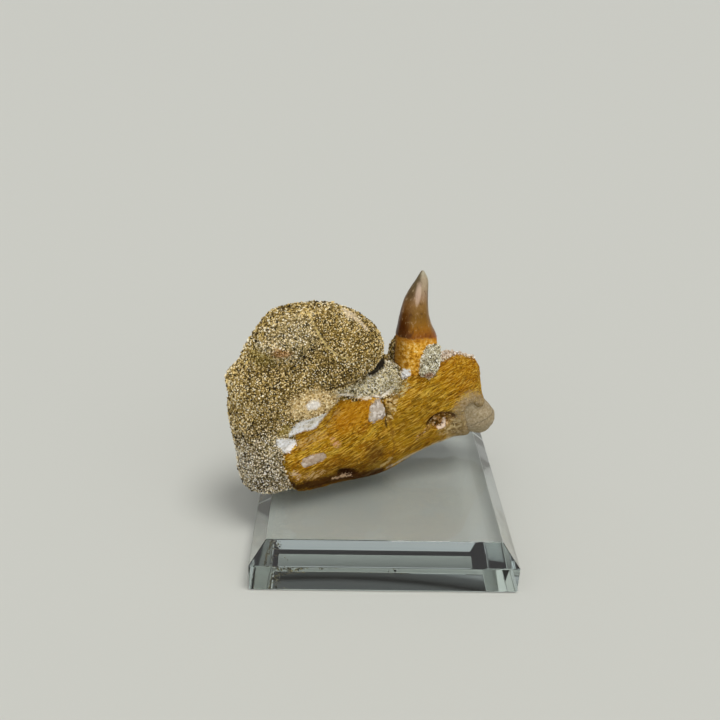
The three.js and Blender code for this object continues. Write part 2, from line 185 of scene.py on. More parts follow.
# Lines on the display side; a skin keeps each vertex's distance from them.
LINES = {
    "shell_line": [
        (-24.5, 58.5), (-24.9, 57.7), (-24.3, 54.9), (-23, 51.9), (-20.9, 49), (-19.1, 47.4),
        (-17.2, 46.1), (-14.9, 45.1),
    ],
    "rim_line": [(-12.9, 56.5), (-11.9, 56.1), (-10.5, 55.2), (-8.8, 53.6), (-7.3, 52.1)],
    "overhang": [
        (-21.6, 35.6), (-17.5, 36.3), (-14.1, 36.4), (-10, 35.6), (-6.8, 35.1), (-4.2, 36),
        (-2.4, 37.6),
    ],
    "broken_edge": [
        (-17.3, 29.4), (-15.7, 30.8), (-13.6, 30.7), (-10.6, 29.3), (-6.9, 28.1), (-3.4, 27.9),
        (-1.4, 26.8), (-0.5, 27.6), (1.2, 28.6), (2.4, 30),
    ],
    "crack": [
        (-1.3, 27.1), (-1.1, 25.7), (-0.6, 23.9), (-0.6, 21.9), (-1.1, 20.4), (-0.9, 18.5),
    ],
    "lower_rim": [(0, 3), (4.4, 4), (10, 5.2), (17.5, 6.8), (25, 8.2)],
    "lower_shade": [
        (-33.5, 2.4), (-31.8, 2.4), (-28.7, 3), (-25.3, 2.6), (-21.9, 2.9), (-18.5, 3.3), (-14.9, 3),
        (-9, 2), (-3, 2),
    ],
    "lower_flakes": [(-19.5, 3.5), (-16.5, 3.6), (-13.5, 2.9)],
    "white_streak": [(-32.4, 21.6), (-29.6, 24.4), (-27, 25.2), (-24.6, 25.9), (-21.4, 27.4)],
    "low_streak": [(-30.2, 21.4), (-27.8, 21.2), (-26, 21), (-24, 22.6)],
    "seam_line": [(0.3, 20.4), (1, 16), (1.3, 11), (0.6, 5), (0.9, 1.5)],
    "pale_streak": [(-8, 1), (-4.6, 3.4), (-1.4, 5.4), (0.6, 7.2)],
    "foramen_rim": [(13.6, 17.2), (14.6, 18.4), (16.3, 19.5), (18.8, 20), (21.5, 19.4), (23.8, 18.2)],
    "foramen_lip_gleam": [(17.8, 14.9), (19, 14.7), (20.2, 15.2), (20.9, 16.6)],
    "pebble_trail": [(14, 16), (11.8, 14.6), (10, 13.2)],
    "silt_vein": [(22, 9.4), (27, 11), (31, 13.6), (36, 15.2), (40, 16.2)],
    "crown_base": [
        (4, 46.2), (5.9, 46.6), (7.5, 46.6), (9.9, 46.9), (12.8, 46.9), (15.4, 46), (18.4, 44.8),
    ],
}


def colour(code):
    """Linear red, green and blue of a display colour such as 'b09a72'."""
    channels = [int(code[i : i + 2], 16) / 255 for i in (0, 2, 4)]
    return tuple(
        c / 12.92 if c <= 0.04045 else ((c + 0.055) / 1.055) ** 2.4 for c in channels
    )


def opaque(shade):
    """A display colour's code, or a grey's brightness, as red, green, blue and 1."""
    red_green_blue = colour(shade) if isinstance(shade, str) else (shade, shade, shade)
    return (*red_green_blue, 1.0)


# ---------------------------------------------------------------- noise in numbers
def lattice_hash(cells, seed):
    """Repeatable values between 0 and 1 for rows of whole-number cells."""
    h = (
        cells[..., 0].astype(np.uint64) * np.uint64(73856093)
        ^ cells[..., 1].astype(np.uint64) * np.uint64(19349663)
        ^ cells[..., 2].astype(np.uint64) * np.uint64(83492791)
        ^ np.uint64(seed * 2654435761)
    )
    h ^= h >> np.uint64(33)
    h *= np.uint64(0xFF51AFD7ED558CCD)
    h ^= h >> np.uint64(33)
    h *= np.uint64(0xC4CEB9FE1A85EC53)
    h ^= h >> np.uint64(33)
    return (h >> np.uint64(11)).astype(np.float64) / float(1 << 53)


CORNERS = np.array(list(itertools.product((0, 1), repeat=3)))
CELL_SHIFT = 4096  # keeps the numbers of the cells positive


def soft_noise(places, size, seed):
    """Smooth noise between -1 and 1 whose lumps are about size apart."""
    scaled = np.asarray(places) / size
    base = np.floor(scaled)
    part = scaled - base
    eased = part * part * (3 - 2 * part)
    total = np.zeros(len(scaled))
    for corner in CORNERS:
        weight = np.prod(np.where(corner, eased, 1 - eased), axis=1)
        total += weight * lattice_hash((base + corner + CELL_SHIFT).astype(np.int64), seed)
    return 2 * total - 1


def layered_noise(places, size, seed, layers=3):
    """Sum of finer and finer soft noise, still about -1 to 1."""
    total = np.zeros(len(places))
    reach = 0.0
    for layer in range(layers):
        share = 0.5**layer
        total += share * soft_noise(places, size * share, seed + layer)
        reach += share
    return total / reach


def grain_field(places, size, seed):
    """Distance to the nearest grain centre, in sizes, and that grain's own tone."""
    scaled = np.asarray(places) / size
    base = np.floor(scaled).astype(np.int64)
    nearest = np.full(len(scaled), np.inf)
    tone = np.zeros(len(scaled))
    for step in itertools.product((-1, 0, 1), repeat=3):
        cell = base + step + CELL_SHIFT
        centre = np.stack([lattice_hash(cell, seed + axis) for axis in range(3)], axis=1)
        away = np.linalg.norm(scaled - (cell - CELL_SHIFT) - centre, axis=1)
        closer = away < nearest
        nearest = np.where(closer, away, nearest)
        tone = np.where(closer, lattice_hash(cell, seed + 7), tone)
    return nearest, tone


def smooth_step(low, high, value):
    share = np.clip((value - low) / (high - low), 0, 1)
    return share * share * (3 - 2 * share)


def bump_at(places, centre, radii, tilt=0.0):
    """1 at a place on the display side, fading to 0 past the two radii."""
    along = places[:, 0] - centre[0]
    up = places[:, 1] - centre[1]
    across = along * math.cos(tilt) + up * math.sin(tilt)
    rise = up * math.cos(tilt) - along * math.sin(tilt)
    return np.exp(-((across / radii[0]) ** 2) - (rise / radii[1]) ** 2)


def distance_to_path(places, path, closed=False):
    """Distance in the display plane from each place to a path of (along, up) points."""
    ends = path[1:] + path[:1] if closed else path[1:]
    flat = places[:, :2]
    best = np.full(len(flat), np.inf)
    for start, end in zip(path, ends):
        corner = np.array(start)
        run = np.array(end) - corner
        share = np.clip(((flat - corner) @ run) / (run @ run), 0, 1)
        best = np.minimum(best, np.linalg.norm(flat - corner - share[:, None] * run, axis=1))
    return best


def from_line(places, name):
    """Distance in the display plane from each place to a marked line, in mm."""
    return distance_to_path(places, LINES[name])


def depth_inside(places, name):
    """How far each place lies inside a marked area, in mm; negative outside it."""
    outline = AREAS[name]
    along, up = places[:, 0], places[:, 1]
    inside = np.zeros(len(places), bool)
    for (x0, y0), (x1, y1) in zip(outline, outline[1:] + outline[:1]):
        crosses = (y0 > up) != (y1 > up)
        at = x0 + (up - y0) * (x1 - x0) / ((y1 - y0) or 1e-9)
        inside ^= crosses & (along < at)
    return np.where(inside, 1, -1) * distance_to_path(places, outline, closed=True)


def within(places, name, low, high):
    """0 outside a marked area and 1 inside it, eased between two depths in mm."""
    return smooth_step(low, high, depth_inside(places, name))


def groove(places, name, width):
    """1 on a marked line, fading to 0 past width."""
    return np.exp(-((from_line(places, name) / width) ** 2))


# ---------------------------------------------------------------- skins
def to_places(points):
    """World points in metres as rows of (along, up, front) in millimetres."""
    local = points @ np.array(TO_FOSSIL.to_3x3()).T + np.array(TO_FOSSIL.translation)
    return np.stack([local[:, 0], local[:, 2], -local[:, 1]], axis=1)


def to_points(places):
    """Rows of (along, up, front) in millimetres as world points in metres."""
    local = np.stack([places[:, 0], -places[:, 2], places[:, 1]], axis=1)
    return local @ np.array(TO_WORLD.to_3x3()).T + np.array(TO_WORLD.translation)


def rows_of(items, field):
    """A mesh's vectors of one kind as rows of numbers."""
    values = np.empty(len(items) * 3, np.float32)
    items.foreach_get(field, values)
    return values.reshape(-1, 3).astype(np.float64)


def coordinates(mesh):
    return rows_of(mesh.vertices, "co")


def outward(mesh):
    return rows_of(mesh.vertex_normals, "vector")


def set_coordinates(mesh, values):
    mesh.vertices.foreach_set("co", np.asarray(values, np.float32).ravel())
    mesh.update()


def link(name, mesh):
    piece = bpy.data.objects.new(name, mesh)
    bpy.context.scene.collection.objects.link(piece)
    return piece


def store(mesh, name, values):
    """Keeps one number, or one vector, for each vertex for the finish to read."""
    kind, field = ("FLOAT_VECTOR", "vector") if np.ndim(values) == 2 else ("FLOAT", "value")
    made = mesh.attributes.new(name, kind, "POINT")
    made.data.foreach_set(field, np.asarray(values, np.float32).ravel())


def store_marks(mesh, places, names):
    """Keeps how far inside each named area, or from each named line, a vertex lies."""
    on_display_side = places[:, 2] > 0
    for name in names:
        if name in AREAS:
            values = np.where(on_display_side, depth_inside(places, name), -FAR)
        else:
            values = np.where(on_display_side, from_line(places, name), FAR)
        store(mesh, name, values)


def node_shape(node):
    """A CAD node's corners in the fossil's millimetres, and its faces."""
    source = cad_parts[node].data
    return to_places(coordinates(source)), [tuple(face.vertices) for face in source.polygons]


def rough_source(node, name, to_be_rounded):
    """A CAD node in the fossil's millimetres; its triangles are paired before rounding."""
    places, faces = node_shape(node)
    mesh = bpy.data.meshes.new(name)
    mesh.from_pydata(places.tolist(), [], faces)
    shape = bmesh.new()
    shape.from_mesh(mesh)
    bmesh.ops.remove_doubles(shape, verts=shape.verts, dist=1e-4)
    if to_be_rounded:
        bmesh.ops.join_triangles(
            shape, faces=shape.faces, angle_face_threshold=0.6, angle_shape_threshold=1.2
        )
    shape.to_mesh(mesh)
    shape.free()
    return mesh


def fine_skin(node, name, voxel, smoothing, reshape, marks=(), rounding=0):
    """A fine closed skin over a CAD node, given its own relief by reshape().

    voxel is in millimetres, and smoothing and rounding are numbers of passes. reshape
    takes the places and the normals, both as (along, up, front) in millimetres, and
    gives the new places.
    """
    rough = rough_source(node, name + "_rough", rounding > 0)
    worker = link(name + "_worker", rough)
    if rounding:
        worker.modifiers.new("round", "SUBSURF").levels = rounding
    remesh = worker.modifiers.new("fine", "REMESH")
    remesh.mode = "VOXEL"
    remesh.voxel_size = voxel
    soften = worker.modifiers.new("soften", "SMOOTH")
    soften.factor = 0.5
    soften.iterations = smoothing
    graph = bpy.context.evaluated_depsgraph_get()
    mesh = bpy.data.meshes.new_from_object(worker.evaluated_get(graph))
    mesh.name = name
    bpy.data.objects.remove(worker)
    bpy.data.meshes.remove(rough)
    places = reshape(coordinates(mesh), outward(mesh))
    set_coordinates(mesh, to_points(places))
    store(mesh, "place", places)
    store_marks(mesh, places, marks)
    mesh.shade_smooth()
    return link(name, mesh)


def finish_piece(piece, material, node, slot):
    """Puts a material on a piece that stands for a CAD node and rides with it."""
    piece.data.materials.clear()
    piece.data.materials.append(material)
    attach(piece, BODY)
    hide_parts(node)


def node_tree(node):
    """A nearest-point search over a CAD node, in the fossil's millimetres."""
    places, faces = node_shape(node)
    return BVHTree.FromPolygons([Vector(row) for row in places], faces)


def distance_to_node(places, node, limit):
    """Distance from each place to a CAD node in mm, at most limit."""
    tree = node_tree(node)
    found = [tree.find_nearest(Vector(row), limit)[3] for row in places]
    return np.array([limit if away is None else away for away in found])


def moved(places, normals, amount):
    return places + normals * np.asarray(amount)[:, None]


SEAM_REACH = 1.2  # mm; a skin takes no notice of neighbours further off than this
SEAM_FADES, SEAM_FULL = 1.1, 0.45  # mm; where the swell at a seam starts and is full


def seam(places, nodes, swell):
    """How far a skin must swell, in mm, to close the thin gap to its neighbours."""
    reach = np.full(len(places), SEAM_REACH)
    for node in nodes:
        reach = np.minimum(reach, distance_to_node(places, node, SEAM_REACH))
    return swell * smooth_step(SEAM_FADES, SEAM_FULL, reach)


# ---------------------------------------------------------------- loose grains
OCTAHEDRON = np.array(
    [(1, 0, 0), (-1, 0, 0), (0, 1, 0), (0, -1, 0), (0, 0, 1), (0, 0, -1)], float
)
OCTAHEDRON_FACES = np.array(
    [(0, 2, 4), (2, 1, 4), (1, 3, 4), (3, 0, 4), (2, 0, 5), (1, 2, 5), (3, 1, 5), (0, 3, 5)]
)
TRIES = 12  # random places tried for each grain that a surface has room for
NEIGHBOURHOOD = 2.5  # mm; how far a grain looks for a buried node
GRAIN_SUNK = 0.35  # share of a grain's width that lies below the surface


def random_turns(rng, count):
    """Rotation matrices spread evenly over all directions."""
    quarter = rng.normal(size=(count, 4))
    w, x, y, z = (quarter / np.linalg.norm(quarter, axis=1)[:, None]).T
    rows = [
        [1 - 2 * (y * y + z * z), 2 * (x * y - z * w), 2 * (x * z + y * w)],
        [2 * (x * y + z * w), 1 - 2 * (x * x + z * z), 2 * (y * z - x * w)],
        [2 * (x * z - y * w), 2 * (y * z + x * w), 1 - 2 * (x * x + y * y)],
    ]
    return np.array(rows).transpose(2, 0, 1)


def spread(piece, spacing, rng, wanted):
    """Places about spacing apart all over a piece, with the normals there."""
    mesh = piece.data
    mesh.calc_loop_triangles()
    index = np.empty(len(mesh.loop_triangles) * 3, np.int32)
    mesh.loop_triangles.foreach_get("vertices", index)
    corners = to_places(coordinates(mesh))[index].reshape(-1, 3, 3)
    cross = np.cross(corners[:, 1] - corners[:, 0], corners[:, 2] - corners[:, 0])
    area = np.linalg.norm(cross, axis=1)
    facing = cross / np.maximum(area, 1e-12)[:, None]
    weight = np.where(wanted(corners.mean(axis=1), facing), area, 0)
    count = int(TRIES * weight.sum() / 2 / spacing**2)
    picks = rng.choice(len(area), size=count, p=weight / weight.sum())
    first, second = rng.random((2, count, 1))
    over = first + second > 1
    first, second = np.where(over, 1 - first, first), np.where(over, 1 - second, second)
    a, b, c = corners[picks].transpose(1, 0, 2)
    places = a + first * (b - a) + second * (c - a)
    cells = np.floor(places / spacing).astype(np.int64)
    kept = np.sort(np.unique(cells, axis=0, return_index=True)[1])
    return places[kept], facing[picks[kept]]


def clear_of(places, nodes, gap):
    """Which places lie more than gap outside every one of the CAD nodes."""
    free = np.ones(len(places), bool)
    for node in nodes:
        tree = node_tree(node)
        for row, place in enumerate(places):
            if free[row]:
                at, normal, _, away = tree.find_nearest(Vector(place), NEIGHBOURHOOD)
                inside = at is not None and (Vector(place) - at).dot(normal) < 0
                free[row] = at is None or not (inside or away < gap)
    return free


def grain_piece(name, places, normals, widths, rng):
    """Angular grains set into a surface as one mesh; each grain has its own tone."""
    count = len(places)
    corners = OCTAHEDRON * rng.uniform(0.7, 1.2, (count, 6, 1))
    corners = corners * rng.uniform(0.7, 1.15, (count, 1, 3))
    corners = np.einsum("nij,nkj->nki", random_turns(rng, count), corners)
    centres = places + normals * (widths * (0.5 - GRAIN_SUNK))[:, None]
    corners = corners * (widths / 2)[:, None, None] + centres[:, None]
    faces = OCTAHEDRON_FACES[None] + 6 * np.arange(count)[:, None, None]
    mesh = bpy.data.meshes.new(name)
    mesh.from_pydata(to_points(corners.reshape(-1, 3)).tolist(), [], faces.reshape(-1, 3).tolist())
    centres = np.repeat(centres, 6, axis=0)
    store(mesh, "place", centres)
    store(mesh, "grain_tone", np.repeat(rng.random(count), 6))
    store_marks(mesh, centres, SAND_MARKS)
    return link(name, mesh)


# ---------------------------------------------------------------- finishes
FIBRE_SIZES = (2.6, 0.34, 0.34)  # mm along and across a streak of the bone


class Nodes:
    """Short ways to add the nodes of a material or of the room."""

    def __init__(self, tree):
        self.tree = tree

    def node(self, kind, inputs=(), **settings):
        made = self.tree.nodes.new(kind)
        for key, value in settings.items():
            setattr(made, key, value)
        for key, value in dict(inputs).items():
            self.feed(made.inputs[key], value)
        return made

    def feed(self, socket, value):
        if isinstance(value, bpy.types.NodeSocket):
            self.tree.links.new(value, socket)
        else:
            socket.default_value = value

    def math(self, operation, first, second):
        return self.node("ShaderNodeMath", {0: first, 1: second}, operation=operation).outputs[0]

    def plus(self, first, second):
        return self.math("ADD", first, second)

    def minus(self, first, second):
        return self.math("SUBTRACT", first, second)

    def times(self, first, second):
        return self.math("MULTIPLY", first, second)

    def span(self, value, low, high, to_low=0.0, to_high=1.0):
        """value's place between low and high, eased, as a number from to_low to to_high."""
        made = self.node(
            "ShaderNodeMapRange",
            {"Value": value, 1: low, 2: high, 3: to_low, 4: to_high},
            interpolation_type="SMOOTHSTEP",
        )
        return made.outputs[0]

    def blend(self, share, first, second):
        made = self.node("ShaderNodeMix", data_type="RGBA")
        for key, value in ((0, share), (6, first), (7, second)):
            self.feed(made.inputs[key], value)
        return made.outputs[2]

    def tinted(self, shade, *rows):
        """shade changed by each row in turn, (mask, strength, colour), where mask is 1."""
        for mask, strength, other in rows:
            other = opaque(other) if isinstance(other, str) else other
            shade = self.blend(self.times(mask, strength), shade, other)
        return shade

    def ramp(self, share, stops):
        made = self.node("ShaderNodeValToRGB", {"Fac": share})
        points = made.color_ramp.elements
        while len(points) < len(stops):
            points.new(1.0)
        for point, (at, shade) in zip(points, stops):
            point.position = at
            point.color = opaque(shade)
        return made.outputs[0]


class Finish(Nodes):
    """One material, whose noise and marks are measured in the fossil's millimetres."""

    def __init__(self, name, roughness, specular=0.5):
        self.material = bpy.data.materials.new(name)
        self.material.use_nodes = True
        super().__init__(self.material.node_tree)
        self.surface = self.tree.nodes["Principled BSDF"].inputs
        self.give("Roughness", roughness)
        self.give("Specular IOR Level", specular)

    def give(self, socket, value):
        self.feed(self.surface[socket], value)

    def stored(self, name):
        return self.node("ShaderNodeAttribute", attribute_name=name).outputs["Fac"]

    @functools.cached_property
    def place(self):
        """Where each point of the skin lies, as (along, up, front)."""
        return self.node("ShaderNodeAttribute", attribute_name="place").outputs["Vector"]

    def stretched(self, vector, sizes, turn=0.0):
        """Coordinates in which one unit is sizes millimetres, turned in the display plane."""
        sizes = sizes if isinstance(sizes, tuple) else (sizes, sizes, sizes)
        turned = self.node("ShaderNodeMapping", {"Vector": vector, "Rotation": (0, 0, -turn)})
        scale = tuple(1 / size for size in sizes)
        made = self.node("ShaderNodeMapping", {"Vector": turned.outputs[0], "Scale": scale})
        return made.outputs[0]

    def noise(self, sizes, turn=0.0, detail=3.0, roughness=0.55):
        """Cloudy noise whose lumps are about sizes millimetres apart."""
        vector = self.stretched(self.place, sizes, turn)
        inputs = {"Vector": vector, "Scale": 1.0, "Detail": detail, "Roughness": roughness}
        return self.node("ShaderNodeTexNoise", inputs).outputs["Fac"]

    def fibre(self):
        """Noise in the fine streaks of the bone."""
        return self.noise(FIBRE_SIZES, GRAIN_RISE, roughness=0.7)

    def cells(self, sizes, turn=0.0):
        """Distance to the nearest grain and that grain's own tone."""
        vector = self.stretched(self.place, sizes, turn)
        made = self.node("ShaderNodeTexVoronoi", {"Vector": vector, "Scale": 1.0})
        split = self.node("ShaderNodeSeparateColor", {0: made.outputs["Color"]})
        return made.outputs["Distance"], split.outputs[0]

    def fray(self, noise, reach):
        """Noise as a shift of at most about half reach either way, in mm."""
        return self.times(self.minus(noise, 0.5), reach)

    def frayed(self, reach):
        """A shift for the edges of marked areas: broad wander and grain-sized teeth."""
        wander = self.fray(self.noise(1.8), reach)
        return self.plus(wander, self.fray(self.noise(0.5, detail=0.0), 0.8 * reach))

    def mark(self, name, fray, reach=0.4):
        """1 inside a marked area or on a marked line, 0 outside it, with a frayed edge.

        reach is the softness of an area's edge, or half the width of a line, in mm.
        """
        away = self.plus(self.stored(name), fray)
        if name in AREAS:
            return self.span(away, -reach, reach)
        return self.span(away, 0.3 * reach, reach, 1.0, 0.0)

    def spot(self, centre, radii, fray, tilt=0.0, soft=0.35):
        """1 inside a frayed oval ball, 0 outside it."""
        shift = tuple(-at for at in centre)
        middle = self.node("ShaderNodeMapping", {"Vector": self.place, "Location": shift})
        sized = self.stretched(middle.outputs[0], radii, tilt)
        reach = self.node("ShaderNodeVectorMath", {0: sized}, operation="LENGTH")
        edge = self.plus(reach.outputs["Value"], self.times(fray, 0.35))
        return self.span(edge, 1 - soft, 1 + soft, 1.0, 0.0)

    def zone(self, centre, radii, fray, tilt=0.0):
        """A spot whose edge is broad and soft."""
        return self.spot(centre, radii, fray, tilt, 0.5)

    def raise_surface(self, height, distance, strength):
        """Fine relief for the light, over what the mesh already has."""
        inputs = {"Strength": strength, "Distance": distance * MM, "Height": height}
        self.give("Normal", self.node("ShaderNodeBump", inputs).outputs[0])


# ---------------------------------------------------------------- settings
class FossilGlassSettings(bpy.types.PropertyGroup):
    """Glass of the stand."""

    ior: bpy.props.FloatProperty(
        name="Index of refraction", description="How strongly the glass bends light",
        default=1.52, min=1.0, max=2.0,
    )
    tint: bpy.props.FloatVectorProperty(
        name="Tint", description="Colour that deep glass shows",
        subtype="COLOR", default=colour("94ccc4"), min=0.0, max=1.0,
    )
    density: bpy.props.FloatProperty(
        name="Tint density", description="How quickly the tint builds up, per metre of glass",
        default=5.0, min=0.0,
    )
    arris: bpy.props.FloatProperty(
        name="Arris", description="Width of the polished edge between two faces",
        default=0.4 * MM, min=0.0, unit="LENGTH", subtype="DISTANCE",
    )


class FossilSandSettings(bpy.types.PropertyGroup):
    """Cemented sand of the matrix."""

    voxel: bpy.props.FloatProperty(
        name="Mesh step", description="Spacing of the fine skin's points",
        default=0.4 * MM, min=0.2 * MM, unit="LENGTH", subtype="DISTANCE",
    )
    grain: bpy.props.FloatProperty(
        name="Grain size", description="Usual width of a loose grain on the display side",
        default=0.46 * MM, min=0.3 * MM, unit="LENGTH", subtype="DISTANCE",
    )
    back_grain: bpy.props.FloatProperty(
        name="Back grain size", description="Usual width of a loose grain on the other sides",
        default=0.8 * MM, min=0.3 * MM, unit="LENGTH", subtype="DISTANCE",
    )


class FossilBoneSettings(bpy.types.PropertyGroup):
    """Mineralised bone of the jaw."""

    voxel: bpy.props.FloatProperty(
        name="Mesh step", description="Spacing of the fine skin's points",
        default=0.3 * MM, min=0.2 * MM, unit="LENGTH", subtype="DISTANCE",
    )
    fibre_depth: bpy.props.FloatProperty(
        name="Fibre depth", description="Depth of the grooves between bone fibres",
        default=0.1 * MM, min=0.0, unit="LENGTH", subtype="DISTANCE",
    )


class FossilToothSettings(bpy.types.PropertyGroup):
    """Crown and root of the tooth."""

    voxel: bpy.props.FloatProperty(
        name="Mesh step", description="Spacing of the fine skin's points",
        default=0.22 * MM, min=0.15 * MM, unit="LENGTH", subtype="DISTANCE",
    )
    enamel: bpy.props.FloatProperty(
        name="Enamel", description="Thickness by which the crown stands proud of the root",
        default=0.12 * MM, min=0.0, unit="LENGTH", subtype="DISTANCE",
    )


class FossilStudioSettings(bpy.types.PropertyGroup):
    """Floor, light and camera."""

    floor: bpy.props.FloatVectorProperty(
        name="Floor", description="Colour of the floor",
        subtype="COLOR", default=colour("cccdc6"), min=0.0, max=1.0,
    )
    lens: bpy.props.FloatProperty(
        name="Focal length", description="Camera lens, for a sensor 36 mm wide",
        default=41.0, min=10.0, subtype="DISTANCE_CAMERA",
    )
    key_light: bpy.props.FloatProperty(
        name="Key light", description="Strength of the broad light above", default=1.45, min=0.0,
    )
    room_light: bpy.props.FloatProperty(
        name="Room light", description="Strength of the light from all around", default=0.41,
        min=0.0,
    )


SETTINGS = {
    "fossil_glass": FossilGlassSettings,
    "fossil_sand": FossilSandSettings,
    "fossil_bone": FossilBoneSettings,
    "fossil_tooth": FossilToothSettings,
    "fossil_studio": FossilStudioSettings,
}


# ---------------------------------------------------------------- glass stand
FLAT_WITHIN = math.radians(1)  # faces that meet at less than this become one


class FOSSIL_OT_stand(bpy.types.Operator):
    """Make the bevelled glass block with its polished arrises"""

    bl_idname = "fossil.stand"
    bl_label = "Glass stand"

    def execute(self, context):
        settings = context.scene.fossil_glass
        shape = bmesh.new()
        shape.from_mesh(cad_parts["glass_stand"].data)
        bmesh.ops.remove_doubles(shape, verts=shape.verts, dist=1e-6)
        bmesh.ops.dissolve_limit(
            shape, angle_limit=FLAT_WITHIN, verts=shape.verts, edges=shape.edges
        )
        bmesh.ops.bevel(
            shape, geom=shape.edges, offset=settings.arris / 2, segments=2, profile=0.5,
            affect="EDGES", clamp_overlap=True,
        )
        mesh = bpy.data.meshes.new("glass_block")
        shape.to_mesh(mesh)
        shape.free()
        mesh.shade_flat()
        block = link("glass_block", mesh)
        finish_piece(block, self.glass(settings), "glass_stand", "clear_glass")
        return {"FINISHED"}

    def glass(self, settings):
        made = Finish("clear_glass", 0.0)
        made.give("Base Color", opaque(1.0))
        made.give("Transmission Weight", 1.0)
        made.give("IOR", settings.ior)
        depth = made.node(
            "ShaderNodeVolumeAbsorption",
            {"Color": (*settings.tint, 1.0), "Density": settings.density},
        )
        made.feed(made.tree.nodes["Material Output"].inputs["Volume"], depth.outputs[0])
        return made.material


# ---------------------------------------------------------------- sandy matrix
SAND_MARKS = (
    "roundel", "ledge", "crevice", "cream_sand", "white_band", "bone_strip", "yellow_bone",
    "white_patch", "straw_patch", "white_spot", "shell_line", "rim_line", "broken_edge",
    "overhang", "white_streak", "low_streak",
)
# Tones of the grains, from the darkest at 0 to the brightest at 1.
SAND_TONES = [(0, "140b02"), (0.22, "645024"), (0.48, "ae934e"), (0.72, "f0d48e"), (1, "fff8de")]
GREY_TONES = [(0, "0c0802"), (0.22, "4c422c"), (0.48, "ac9e7c"), (0.7, "f4ead0"), (1, "ffffff")]
ROUNDEL_TONES = [(0, "140c00"), (0.22, "5e4a1c"), (0.48, "a68a42"), (0.72, "ecce84"), (1, "fff4d0")]
PALE_TONES = [(0, "20180a"), (0.2, "8e8054"), (0.45, "cdbd8c"), (0.7, "fff0cc"), (1, "ffffff")]
# The ledge's pale sand, brightened further as painted light on its lit upward face.
LEDGE_PALE_AND_LIT_TONES = [(0, "1e180a"), (0.14, "90845a"), (0.32, "dccea0"), (0.55, "fcf4d6"), (1, "ffffff")]
STRAW_TONES = [(0, "5e4618"), (0.25, "b4965a"), (0.55, "e2c88e"), (1, "fff2cc")]
BROWN_TONES = [(0, "3c2006"), (0.4, "946024"), (1, "e8b068")]
OLIVE_TONES = [(0, "2a2004"), (0.4, "86702a"), (1, "dcc878")]
YELLOW_TONES = [(0, "6b5518"), (0.4, "b7a050"), (1, "f3e6ae")]
BAND_TONES = [(0, "b0aa8e"), (0.15, "f4ecdc"), (1, "ffffff")]
WHITE_TONES = [(0, "d8d0c0"), (0.15, "ffffff"), (1, "ffffff")]
# Where the display side is bare of loose grains: lines with half widths in mm, and areas.
BARE_LINES = (("overhang", 0.35), ("broken_edge", 0.35), ("shell_line", 0.2))
BARE_AREAS = ("crevice", "white_band", "bone_strip", "white_patch", "white_spot")
BURIED = ("jaw_bone", "tooth", "canal_infill", "pale_bone_fragment", "socket_sand", "glass_stand")
SAND_ROUGHNESS, SAND_SPECULAR = 0.85, 0.25
GRAIN_SPACING = 0.9  # in widths of a grain
GRAIN_CLEARANCE = 0.12  # mm kept free between a grain and what lies buried in the sand
GRAIN_VARIETY = 0.25  # how much the grains' widths differ
SMALLEST_GRAIN, LARGEST_GRAIN = 0.5, 1.9  # in usual widths
BROAD_LUMPS, CLOSE_LUMPS, GRAIN_RELIEF = 0.42, 0.3, 0.3  # mm high
# Broad swells of the display side: height in mm (a hollow's is below 0), centre, radii, tilt.
SAND_SWELLS = (
    (0.9, (-37.5, 49.6), (6.0, 1.5), 0.1),
    (0.5, (-41.5, 47.4), (1.8, 1.6), 0.0),
    (-0.9, (-38.5, 44.8), (6.5, 2.0), 0.15),
    (0.5, (-31, 52.5), (5.0, 1.2), 0.5),
)


def sand_reshape(places, normals):
    """Lumps and hollows of the cemented sand, its overhang and its seam with the bone."""
    grains = grain_field(places, 0.9, 11)[0]
    lumps = BROAD_LUMPS * layered_noise(places, 7.0, 21)
    lumps += CLOSE_LUMPS * layered_noise(places, 2.8, 31, 2)
    swells = sum(height * bump_at(places, *oval) for height, *oval in SAND_SWELLS)
    marks = 0.35 * within(places, "roundel", -0.5, 0.5)
    marks -= 0.3 * groove(places, "shell_line", 0.6)
    marks -= 0.4 * groove(places, "overhang", 0.9)
    marks -= 1.5 * within(places, "crevice", -0.8, 0.6)
    display = smooth_step(0, 6, places[:, 2])
    local = GRAIN_RELIEF * (0.55 - grains) + lumps + display * (swells + marks)
    quiet = smooth_step(0.3, 1.3, distance_to_node(places, "jaw_bone", 1.4))
    return moved(places, normals, quiet * (local - 0.12) + seam(places, ("jaw_bone", "tooth"), 0.36))


